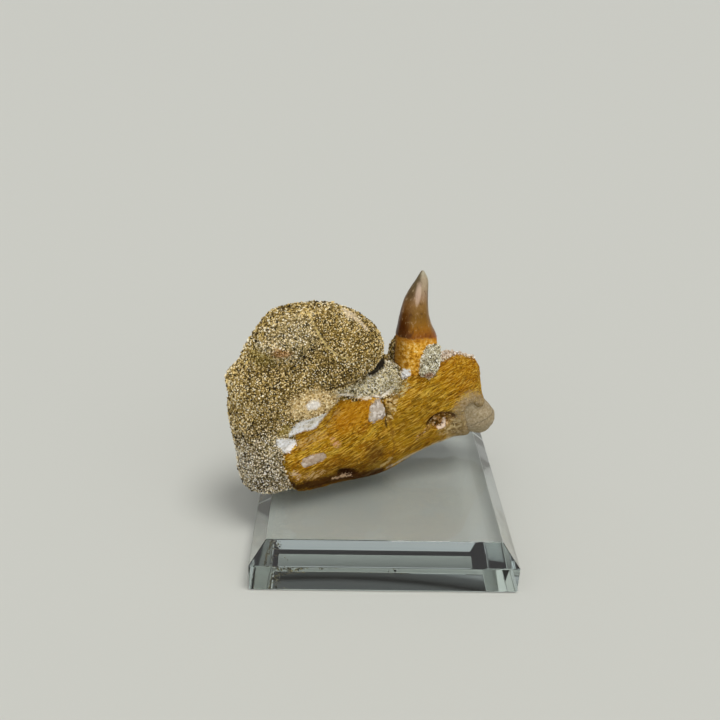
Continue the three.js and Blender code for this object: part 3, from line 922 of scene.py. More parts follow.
def sand_shade(made, speckle):
    """Colour of the sand: grain tones, broad zones with a ledge brightened as painted light, the marked
    patches, then painted shadow under the overhang and painted shade in the crevice.
    """
    ragged = made.frayed(2.6)
    thin = made.frayed(0.7)
    broken_up = made.span(made.noise(1.0), 0.34, 0.46)
    lifted = made.plus(speckle, made.fray(made.noise(9.0, detail=2.0), 0.35))
    pale = made.ramp(lifted, PALE_TONES)

    def broken_line(name, width):
        return made.times(made.mark(name, thin, width), broken_up)

    shade = made.tinted(
        made.ramp(lifted, SAND_TONES),
        (made.zone((-44, 4, 8), (13, 16, 20), ragged), 0.8, made.ramp(speckle, GREY_TONES)),
        (made.zone((-31, 52, 9), (8, 5, 8), ragged, 0.4), 0.5, pale),
        # the ledge's pale sand, made brighter still as painted light
        (made.mark("ledge", ragged, 0.8), 0.95, made.ramp(lifted, LEDGE_PALE_AND_LIT_TONES)),
        (made.zone((2.8, 31, 7), (3.4, 3.4, 6), ragged), 0.4, "86784e"),
        (made.mark("cream_sand", ragged, 1.2), 0.6, pale),
        (made.mark("roundel", ragged), 0.8, made.ramp(lifted, ROUNDEL_TONES)),
        (broken_line("shell_line", 0.45), 0.85, "f0da94"),
        (broken_line("rim_line", 0.8), 0.5, "fff0d8"),
        (broken_line("broken_edge", 0.65), 0.95, "fff6e6"),
    )
    patches = (
        (made.mark("straw_patch", ragged, 0.7), 0.8, STRAW_TONES),
        (made.spot((-35.6, 49, 11), (3.2, 1.5, 4), ragged), 0.75, BROWN_TONES),
        (made.spot((-40.6, 46.4, 7), (4, 2.6, 6), ragged), 0.75, OLIVE_TONES),
        (made.spot((-40.6, 49.6, 7), (4, 1.2, 6), ragged), 0.6, PALE_TONES),
        (made.mark("yellow_bone", ragged), 0.85, YELLOW_TONES),
        (made.mark("white_band", ragged), 0.95, BAND_TONES),
        (made.mark("white_streak", ragged, 1.6), 0.95, WHITE_TONES),
        (made.mark("low_streak", ragged, 1.8), 0.95, WHITE_TONES),
        (made.mark("white_patch", thin), 0.95, WHITE_TONES),
        (made.mark("white_spot", thin), 0.95, WHITE_TONES),
    )
    for mask, strength, tones in patches:
        shade = made.tinted(shade, (mask, strength, made.ramp(speckle, tones)))
    return made.tinted(
        shade,
        (made.mark("bone_strip", thin), 1.0, made.ramp(made.fibre(), BONE_FIBRES)),
        # painted shadow: a dark line under the overhang of the upper lump
        (made.mark("overhang", thin, 0.6), 0.6, "3a2c16"),
        # painted shade: the deep crevice beside the tooth painted near black
        (made.mark("crevice", thin), 0.95, "140d08"),
    )


def sand_finish(name, loose):
    """The sand's finish; loose grains have a tone each, the skin has cells of tone, kept dark as
    painted shade in the gaps between the grains.
    """
    made = Finish(name, SAND_ROUGHNESS, SAND_SPECULAR)
    if loose:
        speckle = made.stored("grain_tone")
    else:
        away, tone = made.cells(0.6)
        # painted shade: the skin's tones cut to under half, as the shade in the gaps between the loose
        # grains
        speckle = made.times(tone, 0.45)
        made.raise_surface(made.minus(1.0, away), 0.35, 0.8)
    made.give("Base Color", sand_shade(made, speckle))
    return made.material


def grainy(at):
    """Parts of the display side that are neither smooth patches nor deep shadow."""
    bare = np.zeros(len(at), bool)
    for name, width in BARE_LINES:
        bare |= from_line(at, name) < width
    for name in BARE_AREAS:
        bare |= depth_inside(at, name) > 0.1
    return ~bare


class FOSSIL_OT_matrix(bpy.types.Operator):
    """Make the sandy matrix: its skin and the loose grains that cover it"""

    bl_idname = "fossil.matrix"
    bl_label = "Sandy matrix"

    def execute(self, context):
        settings = context.scene.fossil_sand
        step = settings.voxel / MM
        skin = fine_skin("sandy_matrix", "matrix_skin", step, 3, sand_reshape, SAND_MARKS)
        finish_piece(skin, sand_finish("sandy_matrix", False), "sandy_matrix", "sandy_matrix")
        finish = sand_finish("loose_sand", True)
        rng = np.random.default_rng(7)
        sides = {
            "front": (settings.grain / MM, lambda at, facing: (facing[:, 2] > 0.05) & grainy(at)),
            "back": (settings.back_grain / MM, lambda at, facing: facing[:, 2] <= 0.05),
        }
        for side, (width, wanted) in sides.items():
            places, normals = spread(skin, width * GRAIN_SPACING, rng, wanted)
            free = clear_of(places, BURIED, GRAIN_CLEARANCE)
            places, normals = places[free], normals[free]
            shares = rng.lognormal(0.0, GRAIN_VARIETY, len(places))
            widths = width * shares.clip(SMALLEST_GRAIN, LARGEST_GRAIN)
            grains = grain_piece("sand_grains_" + side, places, normals, widths, rng)
            finish_piece(grains, finish, "sandy_matrix", "sandy_matrix")
        return {"FINISHED"}


# ---------------------------------------------------------------- jaw bone
BONE_MARKS = (
    "pale_bone_edge", "white_band", "yellow_bone", "white_patch", "cream_corner", "scuffs",
    "pink_spot", "stain", "low_pit", "sandy_hollow", "green_bone", "socket_patch", "grey_end",
    "foramen", "rubble", "broken_edge", "crack", "lower_rim", "lower_shade", "lower_flakes",
    "white_streak", "seam_line", "pale_streak", "foramen_rim", "foramen_lip_gleam", "pebble_trail",
)
SILT_TONES = [(0.25, "5c4e30"), (0.42, "8d7c58"), (0.58, "a6967a"), (0.75, "cdc1a6")]
BONE_ZONES = [(0.3, "744804"), (0.44, "9a6906"), (0.56, "ae840c"), (0.72, "c29f38")]
BONE_FIBRES = [(0.32, "3c1e00"), (0.44, "8a5a02"), (0.54, "bc8c10"), (0.68, "f2ca5c")]
BROWN_SAND_TONES = [(0, "4a3416"), (0.5, "a0824c"), (1, "e6d2a0")]
PEBBLE_TONES = [(0, "241204"), (0.4, "6e4618"), (0.75, "b98a50"), (1, "f2deba")]
PORE_DEPTH, SWELL_HEIGHT, FILLET_HEIGHT = 0.1, 0.35, 1.3  # mm


def fibre_coordinates(places):
    """Places turned so that the first axis follows the bone's fibres."""
    turn = GRAIN_RISE
    run = places[:, 0] * math.cos(turn) + places[:, 1] * math.sin(turn)
    rise = places[:, 1] * math.cos(turn) - places[:, 0] * math.sin(turn)
    return np.stack([run, rise, places[:, 2]], axis=1)


def bone_reshape(depth):
    """Fibres, pores and pits of the bone; depth is that of the fibres in mm."""

    def reshape(places, normals):
        fibres = fibre_coordinates(places)
        grooves = depth * layered_noise(fibres / (5.0, 0.65, 0.65), 1.0, 41, 2)
        pores = smooth_step(0.4, 0.75, soft_noise(fibres / (1.5, 0.6, 0.6), 1.0, 51))
        rough = (1 - 0.75 * within(places, "grey_end", -2, 2)) * (grooves - PORE_DEPTH * pores)
        swell = SWELL_HEIGHT * layered_noise(fibres / (2.0, 1.0, 1.0), 4.0, 61)
        pebbles = within(places, "foramen", -0.5, 1)
        hole = 1.1 * bump_at(places, (18.4, 18.2), (3.4, 1.5), 0.05)
        hole += 0.5 * bump_at(places, (19.2, 16.4), (3.6, 2.2))
        hole -= 0.6 * pebbles * (0.5 - grain_field(places, 1.1, 91)[0])
        hole += 0.8 * groove(places, "foramen_rim", 0.6)
        hole -= 0.5 * groove(places, "foramen_lip_gleam", 0.6)
        hole += 1.1 * bump_at(places, (-14.6, 5.2), (3.2, 1.1), -0.25)
        hole += 0.5 * groove(places, "crack", 0.35)
        hole += 0.4 * within(places, "sandy_hollow", -0.5, 1)
        hole -= 0.2 * groove(places, "broken_edge", 0.5)
        display = smooth_step(2, 6, places[:, 2])
        closing = seam(places, ("tooth", "socket_sand", *FILLERS), 0.2)
        fillet = smooth_step(4.5, 0.3, distance_to_node(places, "canal_infill", 5.0))
        fillet *= FILLET_HEIGHT
        return moved(places, normals, rough + swell - display * hole + closing + fillet)

    return reshape


def silt_shade(made):
    """Smooth grey-brown silt with a fine speckle."""
    return made.ramp(made.noise(0.8, detail=4.0, roughness=0.8), SILT_TONES)


def bone_ground(made, fibre, bright, speck, pit, ragged):
    """Ochre streaks and flecks, broad warm and dark zones, painted shade over the lower part of the
    jaw, and silt at the broken end.
    """
    zones = made.ramp(made.noise((8, 4, 4), GRAIN_RISE), BONE_ZONES)
    patchy = made.noise((5.0, 2.6, 3.0), GRAIN_RISE, detail=4.0, roughness=0.6)
    spill = made.span(made.plus(made.stored("infill_gap"), ragged), 4.6, 2.0)
    silt = made.math("MAXIMUM", made.mark("grey_end", made.frayed(3.2), 2.4), spill)
    return made.tinted(
        made.blend(0.66, zones, made.ramp(fibre, BONE_FIBRES)),
        (made.span(patchy, 0.52, 0.66), 0.35, "8a4a08"),
        (made.span(patchy, 0.46, 0.34), 0.4, "c0a440"),
        (made.span(speck, 0.34, 0.1), 0.55, "442600"),
        (bright, 0.55, "f0c458"),
        (made.zone((-12, 25, 10), (8, 5, 8), ragged, GRAIN_RISE), 0.45, "b87200"),
        (made.zone((26, 34, 8), (9, 8, 9), ragged), 0.3, "a46400"),
        (made.zone((8, 19, 12), (11, 8, 9), ragged, GRAIN_RISE), 0.3, "80600c"),
        # painted shade: the lower part of the jaw darkened where it turns away from the light above
        (made.zone((-16, 3, 12), (18, 7, 9), ragged, 0.1), 0.6, "5c3a08"),
        (pit, 0.5, "4c300a"),
        (silt, 0.8, silt_shade(made)),
    )


def bone_stains(made, shade, ragged):
    """shade with the marked stains and pale patches, some of them left only in flakes."""
    flakes = made.span(made.noise((1.6, 0.6, 0.8), GRAIN_RISE, roughness=0.7), 0.44, 0.56)

    def flaked(name, softness):
        return made.times(made.mark(name, ragged, softness), flakes)

    return made.tinted(
        shade,
        (made.mark("stain", ragged, 1.4), 0.6, "4e300c"),
        (flaked("scuffs", 0.5), 0.6, "dcbc84"),
        (flaked("pale_bone_edge", 1.5), 0.5, "e6c680"),
        (flaked("cream_corner", 0.5), 0.7, "e0c4a0"),
        (flaked("pink_spot", 0.5), 0.75, "e4ae8a"),
        (flaked("green_bone", 0.8), 0.75, "d4cc98"),
        (made.mark("yellow_bone", ragged), 0.7, "b5933c"),
        (made.mark("white_band", ragged, 0.3), 0.9, "fbf0dc"),
        (made.mark("white_patch", ragged, 0.3), 0.9, "f6f1ea"),
    )


def bone_clinging_sand(made, shade, ragged):
    """shade with the sand and the pebbles that fill its hollows."""
    grain_tone = made.cells(0.7)[1]
    sand = made.ramp(grain_tone, PALE_TONES)
    brown_sand = made.ramp(grain_tone, BROWN_SAND_TONES)
    pebbles = made.ramp(grain_tone, PEBBLE_TONES)
    rubbed = made.spot((23.5, 13.2, 12), (4.4, 3.6, 6), ragged, soft=0.6)
    return made.tinted(
        shade,
        (rubbed, 0.75, brown_sand),
        (made.mark("sandy_hollow", ragged, 0.5), 0.75, brown_sand),
        (made.mark("socket_patch", ragged, 0.5), 0.8, sand),
        (made.mark("rubble", ragged, 0.5), 0.7, sand),
        (made.mark("foramen", ragged, 0.5), 0.8, pebbles),
        (made.mark("pebble_trail", ragged, 1.1), 0.6, pebbles),
    )


def bone_lines(made, shade, ragged):
    """shade with the rims, cracks and streaks of the bone, painted shade in the foramen, the low pit
    and along the lower edge, and a painted highlight on the foramen's lip.
    """
    thin = made.frayed(0.6)
    return made.tinted(
        shade,
        # painted highlight on the foramen's raised lower lip
        (made.mark("foramen_lip_gleam", thin, 0.6), 0.7, "fbe6d2"),
        # painted shade: the dark upper arc inside the foramen
        (made.mark("foramen_rim", ragged, 1.0), 0.8, "3a1a0a"),
        # painted shade: the low pit painted near black
        (made.mark("low_pit", ragged, 1.2), 0.9, "241000"),
        (made.mark("crack", thin, 0.5), 0.8, "3c2c16"),
        (made.mark("broken_edge", thin, 0.55), 0.8, "f2e6c8"),
        (made.mark("lower_rim", ragged, 1.0), 0.6, "eadfc0"),
        (made.mark("seam_line", ragged, 0.8), 0.5, "6e4310"),
        (made.mark("pale_streak", ragged, 0.7), 0.55, "d9c084"),
        (made.mark("lower_shade", ragged, 3.0), 0.85, "321404"),
        (made.mark("lower_flakes", ragged, 0.8), 0.7, "e0bc94"),
        (made.mark("white_streak", ragged, 0.7), 0.8, "fff4e2"),
    )


def bone_finish():
    """Streaked ochre bone with dark pores, stained and chipped in marked places, with painted shade low
    on the jaw and in its hollows and a painted highlight in the foramen.
    """
    made = Finish("jaw_bone", 0.5, 0.08)
    ragged = made.frayed(2.2)
    fibre = made.fibre()
    speck = made.cells((2.0, 0.32, 0.32), GRAIN_RISE)[1]
    bright = made.span(speck, 0.78, 0.95)
    away, tone = made.cells((1.0, 0.6, 0.6), GRAIN_RISE)
    pit = made.times(made.span(away, 0.12, 0.4, 1.0, 0.0), made.span(tone, 0.5, 0.7))
    shade = bone_ground(made, fibre, bright, speck, pit, ragged)
    shade = bone_stains(made, shade, ragged)
    shade = bone_clinging_sand(made, shade, ragged)
    shade = bone_lines(made, shade, ragged)
    made.give("Base Color", shade)
    made.give("Roughness", made.span(fibre, 0.3, 0.8, 0.75, 0.5))
    relief = made.minus(made.plus(fibre, made.times(bright, 0.3)), pit)
    made.raise_surface(relief, 0.35, 0.9)
    return made.material


class FOSSIL_OT_jaw(bpy.types.Operator):
    """Make the jaw's fibrous skin with its pores and pits"""

    bl_idname = "fossil.jaw"
    bl_label = "Jaw bone"

    def execute(self, context):
        settings = context.scene.fossil_bone
        reshape = bone_reshape(settings.fibre_depth / MM)
        skin = fine_skin("jaw_bone", "jaw_skin", settings.voxel / MM, 4, reshape, BONE_MARKS)
        places = to_places(coordinates(skin.data))
        store(skin.data, "infill_gap", distance_to_node(places, "canal_infill", 6.0))
        finish_piece(skin, bone_finish(), "jaw_bone", "jaw_bone")
        return {"FINISHED"}


# ---------------------------------------------------------------- tooth
# The tooth's centre line, from root to tip: up, along and half width in mm.
AXIS_UP, AXIS_ALONG, AXIS_HALF = np.array([
    (30, 11.4, 5), (37, 12, 6.9), (44.6, 11.9, 7), (46.8, 11.5, 6.5), (50.5, 10.9, 5.6),
    (53.4, 10.75, 4.85), (57.6, 11, 4.1), (61, 11.85, 3.15), (64.3, 13, 2), (67.2, 12.95, 0.8),
]).T
CROWN_HEIGHT = 20.8  # mm from the enamel's edge to the tip
CROWN_SLIMMED = 0.07  # share of its width that the crown loses
SLIMMED_FROM, SLIMMED_FULLY = 46, 50  # mm up, where that starts and is full
RIB_HEIGHT, ROOT_LUMPS, ROOT_SUNK = 0.025, 0.22, 0.05  # mm
# Share of the crown's height and the colour there, down the middle and at each edge;
# the left edge holds painted shade and the right a painted reflection, over the enamel's colour.
CROWN_MIDDLE = [
    (0.0, "7a3e04"), (0.06, "8e5404"), (0.14, "945f06"), (0.25, "845a12"), (0.33, "785210"),
    (0.42, "845f28"), (0.5, "8a6634"), (0.62, "9c7e60"), (0.75, "a28e72"), (0.88, "a6967c"),
    (1.0, "aaa690"),
]
CROWN_LEFT_TONE_AND_SHADE = [
    (0.0, "532f10"), (0.15, "4a2204"), (0.35, "5e3608"), (0.5, "7c5526"), (0.62, "624a28"),
    (0.85, "63553a"), (1.0, "6c624a"),
]
CROWN_RIGHT_TONE_AND_REFLECTION = [
    (0.0, "9a5208"), (0.07, "7c4206"), (0.15, "7e5612"), (0.25, "86622e"), (0.42, "86683c"),
    (0.52, "6c5430"), (0.7, "584a28"), (0.8, "857858"), (0.9, "a6a288"), (1.0, "b8b8a4"),
]
ROOT_TONES = [(0.32, "8a5202"), (0.44, "cc8c14"), (0.54, "f2b540"), (0.66, "ffe6a0")]


def above_crown_base(places):
    """Height above the line where the enamel starts, in mm; negative on the root."""
    line = np.array(LINES["crown_base"])
    return places[:, 1] - np.interp(places[:, 0], line[:, 0], line[:, 1])


def off_centre(places):
    """How far each place lies to the right of the tooth's centre line, in mm."""
    return places[:, 0] - np.interp(places[:, 1], AXIS_UP, AXIS_ALONG)


def tooth_reshape(enamel):
    """A smooth, faintly ribbed crown over a rough root."""

    def reshape(places, normals):
        slimmed = CROWN_SLIMMED * smooth_step(SLIMMED_FROM, SLIMMED_FULLY, places[:, 1])
        places = places - np.outer(slimmed * off_centre(places), (1, 0, 0))
        height = above_crown_base(places) + 0.3 * soft_noise(places, 1.2, 73)
        crown = smooth_step(-0.15, 0.25, height)
        ribs = RIB_HEIGHT * soft_noise(places / (0.7, 9.0, 0.7), 1.0, 75)
        root = ROOT_LUMPS * layered_noise(places, 1.5, 71) - ROOT_SUNK
        root += seam(places, ("jaw_bone", "socket_sand"), 0.3)
        return moved(places, normals, crown * (enamel + ribs) + (1 - crown) * root)

    return reshape


def crown_shade(made, height, side, cloud):
    """Brown enamel, pale at the tip, with painted shade to the left, a painted reflection to the right
    and a painted highlight streak.
    """
    share = made.plus(made.math("DIVIDE", height, CROWN_HEIGHT), made.fray(cloud, 0.14))
    # painted highlight: a pale streak down the crown where it catches the light
    gleam = made.spot((10.5, 60.6, 6), (0.7, 3.4, 6), made.fray(cloud, 1.4), -0.25)
    return made.tinted(
        made.ramp(share, CROWN_MIDDLE),
        # painted shade: the crown's left side darker
        (made.span(side, -0.4, -0.85), 1.0, made.ramp(share, CROWN_LEFT_TONE_AND_SHADE)),
        # painted reflection: the crown's right side paler and greyer
        (made.span(side, 0.4, 0.85), 1.0, made.ramp(share, CROWN_RIGHT_TONE_AND_REFLECTION)),
        (made.span(cloud, 0.46, 0.34), 0.4, "3e2608"),
        (made.span(cloud, 0.56, 0.68), 0.25, "e0c498"),
        (gleam, 0.4, "e2c6b2"),
    )


def root_shade(made, height, side, mottle):
    """Mottled ochre root with dark specks, painted shade on its left side and sand in its socket."""
    away, tone = made.cells(0.55)
    speck = made.times(made.span(away, 0.15, 0.45, 1.0, 0.0), made.span(tone, 0.55, 0.7))
    fray = made.fray(mottle, 2.6)
    return made.tinted(
        made.ramp(mottle, ROOT_TONES),
        (speck, 0.5, "6a3e04"),
        # painted shade: the root darker on its left side
        (made.span(side, -0.5, -1.0), 0.5, "6a4210"),
        (made.span(height, -2.6, -0.4), 0.6, "a86812"),
        (made.mark("socket_patch", fray), 0.85, made.ramp(tone, PALE_TONES)),
        (made.mark("white_spot", fray, 0.3), 1.0, "ffffff"),
    )


def tooth_finish():
    """Glossy enamel over a dull root, parted at a wandering line."""
    made = Finish("tooth", 0.3, 0.2)
    height = made.stored("crown_height")
    cloud = made.noise((1.0, 1.9, 1.0), detail=4.0, roughness=0.65)
    mottle = made.noise(1.3, detail=4.0, roughness=0.7)
    side = made.plus(made.stored("crown_side"), made.fray(cloud, 0.3))
    line = made.plus(height, made.fray(mottle, 2.2))
    crown = crown_shade(made, height, side, cloud)
    root = root_shade(made, height, side, mottle)
    made.give("Base Color", made.blend(made.span(line, -0.6, 0.6), root, crown))
    made.give("Roughness", made.span(line, -0.4, 0.4, 0.75, 0.28))
    made.raise_surface(made.times(mottle, made.span(line, -0.4, 0.4, 1.0, 0.15)), 0.5, 0.8)
    return made.material


class FOSSIL_OT_tooth(bpy.types.Operator):
    """Make the tooth's skin: enamel crown over a rough root"""

    bl_idname = "fossil.tooth"
    bl_label = "Tooth"

    def execute(self, context):
        settings = context.scene.fossil_tooth
        skin = fine_skin(
            "tooth", "tooth_skin", settings.voxel / MM, 6, tooth_reshape(settings.enamel / MM),
            ("socket_patch", "white_spot"), rounding=2,
        )
        places = to_places(coordinates(skin.data))
        half = np.interp(places[:, 1], AXIS_UP, AXIS_HALF)
        store(skin.data, "crown_height", above_crown_base(places))
        store(skin.data, "crown_side", off_centre(places) / half)
        finish_piece(skin, tooth_finish(), "tooth", "tooth")
        return {"FINISHED"}


# ---------------------------------------------------------------- small pieces
FILLER_MARKS = ("pink_patch", "teardrop", "white_patch")
SMALL_STEP = 0.25  # mm between the points of a small piece's skin
INFILL_STEP = 0.3
FRAGMENT_FRONT = 12.4  # mm; what stands in front of this is pressed back
FRAGMENT_PRESSED = 0.5  # by this share
INFILL_LUMPS, SOCKET_LUMPS, FRAGMENT_LUMPS = 0.4, 0.35, 0.25  # mm high
SOCKET_TONES = [(0.0, "3d3a2a"), (0.25, "9c9274"), (0.5, "bcb190"), (0.8, "d8ceb0")]
FILLER_TONES = [(0.2, "84766a"), (0.42, "a69a8a"), (0.6, "b8ac9e"), (0.8, "e2dad0")]
PINK_SPOT_AT = (14.2, 33.9, 8)  # the pinkish spot in the sand of the socket
STRAW_SPOT_AT = (-26.2, 31.1, 12)  # the white spot in the pale fragment


def speckled_finish(name, roughness, grain, tones, spots, within_areas=()):
    """Fine speckle between given tones, with frayed ovals of another colour.

    Where areas are given, what lies outside all of them has the look of bone.
    """
    made = Finish(name, roughness)
    away, tone = made.cells(grain)
    cloud = made.noise(2.4 * grain, detail=4.0, roughness=0.65)
    fray = made.fray(cloud, 2.5)
    shade = made.ramp(made.plus(made.times(tone, 0.5), made.times(cloud, 0.5)), tones)
    for centre, radii, strength, code in spots:
        shade = made.tinted(shade, (made.spot(centre, radii, fray), strength, code))
    if within_areas:
        edge = made.plus(made.frayed(1.6), 0.1)
        masks = [made.mark(area, edge, 0.25) for area in within_areas]
        inside = functools.reduce(functools.partial(made.math, "MAXIMUM"), masks)
        shade = made.blend(inside, made.ramp(made.fibre(), BONE_FIBRES), shade)
    made.give("Base Color", shade)
    made.raise_surface(made.minus(1.0, away), 0.6 * grain, 0.5)
    return made.material


def silt_finish():
    made = Finish("siltstone", 0.7)
    vein = made.mark("silt_vein", made.fray(made.noise(1.2), 0.6), 0.35)
    made.give("Base Color", made.tinted(silt_shade(made), (vein, 0.5, "5e5038")))
    made.raise_surface(made.noise(0.5), 0.2, 0.6)
    return made.material


def socket_reshape(places, normals):
    """Rough lumps of loose sand."""
    return moved(places, normals, SOCKET_LUMPS * layered_noise(places, 1.6, 83))


def infill_reshape(places, normals):
    """Soft lumps, and a swell that buries the joint with the bone."""
    lumps = INFILL_LUMPS * layered_noise(places, 2.6, 81)
    return moved(places, normals, lumps + seam(places, ("jaw_bone",), 0.5))


def fragment_reshape(places, normals):
    """A rough face, pressed back where it stands furthest out."""
    proud = np.maximum(places[:, 2] - FRAGMENT_FRONT, 0)
    places = places - np.outer(proud * FRAGMENT_PRESSED, (0, 0, 1))
    return moved(places, normals, FRAGMENT_LUMPS * layered_noise(places, 1.6, 83))


def filler_reshape(places, normals):
    """Widens a filler to its pocket's walls and gives it a faintly uneven face."""
    sideways = normals * (1, 1, 0)
    face = smooth_step(0.5, 0.9, normals[:, 2])
    wander = 0.3 + 0.2 * soft_noise(places, 1.1, 85)
    places = places + sideways * wander[:, None]
    return places + np.outer(face * 0.1 * soft_noise(places, 1.8, 87), (0, 0, 1))


class FOSSIL_OT_small_pieces(bpy.types.Operator):
    """Make the canal infill, the pale fragment, the socket sand and the fillers"""

    bl_idname = "fossil.small_pieces"
    bl_label = "Infill, fragment and fillers"

    def execute(self, context):
        silt = silt_finish()
        straw = speckled_finish(
            "pale_bone", 0.75, 0.5, STRAW_TONES, [(STRAW_SPOT_AT, (2.3, 1.7, 4), 0.9, "f4efe8")]
        )
        patch = speckled_finish(
            "grey_sand", 0.9, 0.55, SOCKET_TONES, [(PINK_SPOT_AT, (1.7, 1.3, 4), 0.7, "a8785c")]
        )
        filler = speckled_finish(
            "filler", 0.8, 0.8, FILLER_TONES,
            [
                ((-33.4, 16.8, 12), (4, 3, 4), 0.85, "fbf8f4"),
                ((-26, 12, 13), (5, 3, 4), 0.4, "b08c66"),
            ],
            FILLER_MARKS,
        )
        pieces = [
            # node, name, mesh step, smoothing, reshape, marks, finish, slot
            ("canal_infill", "infill_skin", INFILL_STEP, 30, infill_reshape, ("silt_vein",), silt,
             "siltstone"),
            ("pale_bone_fragment", "fragment_skin", SMALL_STEP, 3, fragment_reshape, (), straw,
             "pale_bone"),
            ("socket_sand", "socket_sand_skin", SMALL_STEP, 3, socket_reshape, (), patch,
             "grey_sand"),
        ]
        for node in FILLERS:
            pieces.append(
                (node, node + "_skin", SMALL_STEP, 2, filler_reshape, FILLER_MARKS, filler, "filler")
            )
        for node, name, step, smoothing, reshape, marks, finish, slot in pieces:
            skin = fine_skin(node, name, step, smoothing, reshape, marks)
            finish_piece(skin, finish, node, slot)
        return {"FINISHED"}


# ---------------------------------------------------------------- crumbs
CREST_THINS = 25.0  # mm along; the crest's crumbs lie thickly up to here
CRUMB_MIDDLE, CRUMB_VARIETY = 0.15, 0.35  # of the widths' logarithms
SMALLEST_CRUMB, LARGEST_CRUMB = 0.6, 2.2  # in usual widths of a grain
CRUMB_TONES = [(0, "3a3422"), (0.18, "a89e7e"), (0.45, "d4ccac"), (1, "fffdf0")]


def near_sand(at, facing):
    """Parts of the display side within a little of the matrix."""
    near = distance_to_node(at, "sandy_matrix", 1.3) < 1.2
    bare = depth_inside(at, "white_band") > -1.2
    bare |= depth_inside(at, "bone_strip") > -1.6
    return near & ~bare & (at[:, 2] > 3) & (facing[:, 2] > 0)


def along_the_crest(at, facing):
    """The jaw's upper edge to the right of the tooth."""
    inside = depth_inside(at, "rubble") > -0.1
    return inside & (at[:, 2] > -3) & (at[:, 2] < 11) & (facing[:, 1] > -0.2)


def crest_near_the_tooth(at, facing):
    return along_the_crest(at, facing) & (at[:, 0] < CREST_THINS)


def crest_far_from_the_tooth(at, facing):
    return along_the_crest(at, facing) & (at[:, 0] >= CREST_THINS)


def in_socket_patch(at, facing):
    inside = depth_inside(at, "socket_patch") > 0
    return inside & (at[:, 2] > 4) & (facing[:, 2] > 0)


def everywhere_in_front(at, facing):
    return facing[:, 2] > 0.1


CRUMBS = (
    # name, skin to cover, where, spacing in grains, share kept, lift in mm, kind
    ("crumbs_jaw", "jaw_skin", near_sand, 1.0, 0.5, 0, "loose_sand"),
    ("crumbs_root", "tooth_skin", near_sand, 0.9, 0.8, 0.4, "loose_sand"),
    ("crumbs_crest", "jaw_skin", crest_near_the_tooth, 0.7, 1.0, 0.8, "pale_crumbs"),
    ("crumbs_crest_end", "jaw_skin", crest_far_from_the_tooth, 0.8, 0.5, 0.3, "pale_crumbs"),
    ("patch_jaw", "jaw_skin", in_socket_patch, 0.9, 0.9, 0.3, "pale_crumbs"),
    ("patch_root", "tooth_skin", in_socket_patch, 0.9, 0.9, 0.3, "pale_crumbs"),
    ("patch_sand", "socket_sand_skin", everywhere_in_front, 0.8, 1.0, 0.3, "pale_crumbs"),
    ("straw_grains", "fragment_skin", everywhere_in_front, 0.8, 0.95, 0, "straw_grains"),
)
# The node and the slot that each kind of crumb belongs to.
CRUMB_PLACES = {
    "loose_sand": ("sandy_matrix", "sandy_matrix"),
    "pale_crumbs": ("socket_sand", "grey_sand"),
    "straw_grains": ("pale_bone_fragment", "pale_bone"),
}


def crumb_finish(name, tones, spots):
    """Crumbs with a tone each; spots are (centre, radii, fray, strength, colour)."""
    made = Finish(name, SAND_ROUGHNESS, SAND_SPECULAR)
    shade = made.ramp(made.stored("grain_tone"), tones)
    for centre, radii, fray, strength, code in spots:
        mask = made.spot(centre, radii, made.frayed(fray))
        shade = made.tinted(shade, (mask, strength, code))
    made.give("Base Color", shade)


class FOSSIL_OT_crumbs(bpy.types.Operator):
    """Make the crumbs of sand that cling to the bone, the root and the fragment"""

    bl_idname = "fossil.crumbs"
    bl_label = "Crumbs of sand"

    def execute(self, context):
        crumb_finish(
            "pale_crumbs", CRUMB_TONES,
            [
                (PINK_SPOT_AT, (1.8, 1.3, 5), 1.5, 0.7, "a8744f"),
                ((27, 38, 3), (9, 3, 8), 1.5, 0.4, "f2d6c6"),
            ],
        )
        crumb_finish(
            "straw_grains", STRAW_TONES, [(STRAW_SPOT_AT, (2.3, 1.6, 4), 2.0, 0.9, "f8f4ee")]
        )
        rng = np.random.default_rng(19)
        width = context.scene.fossil_sand.grain / MM
        for name, skin, wanted, step, share, lift, kind in CRUMBS:
            places, normals = spread(bpy.data.objects[skin], step * width, rng, wanted)
            chosen = rng.random(len(places)) < share
            places, normals = places[chosen], normals[chosen]
            places = places + normals * rng.uniform(0, lift, (len(places), 1))
            shares = rng.lognormal(CRUMB_MIDDLE, CRUMB_VARIETY, len(places))
            widths = width * shares.clip(SMALLEST_CRUMB, LARGEST_CRUMB)
            piece = grain_piece(name, places, normals, widths, rng)
            finish_piece(piece, bpy.data.materials[kind], *CRUMB_PLACES[kind])
        return {"FINISHED"}


# ---------------------------------------------------------------- stage
# Sine of the elevation behind the part, and how bright the room is there.
ROOM_HEIGHTS = (
    (0.0, 1.0), (0.61, 1.1), (0.634, 0.9), (0.641, 0.14), (0.646, 0.1), (0.648, 0.0), (0.65, 0.0),
    (0.652, 0.2), (0.82, 0.2), (0.93, 1.0),
)
FRONT_BOOST = 2.6  # how many times brighter the room is straight in front of the part
FLOOR_SIZE = 30.0  # m, half the floor's width
FLOOR_DROP = 0.15 * MM  # how far the floor lies below the stand
KEY_FROM = Vector((0.22, -0.2, 0.95))  # where the key light stands, seen from the part
KEY_SPREAD = math.radians(25)
KEY_COLOUR = (1.0, 0.99, 0.97)
SENSOR_WIDTH = 36.0  # mm
NEAREST_SEEN = 0.01  # m from the camera
CAMERA_AT = Vector((-15.24, -230.35, 167.15)) * MM
CAMERA_HEADING, CAMERA_PITCH, CAMERA_ROLL = (math.radians(turn) for turn in (1.787, 25.511, -1.863))


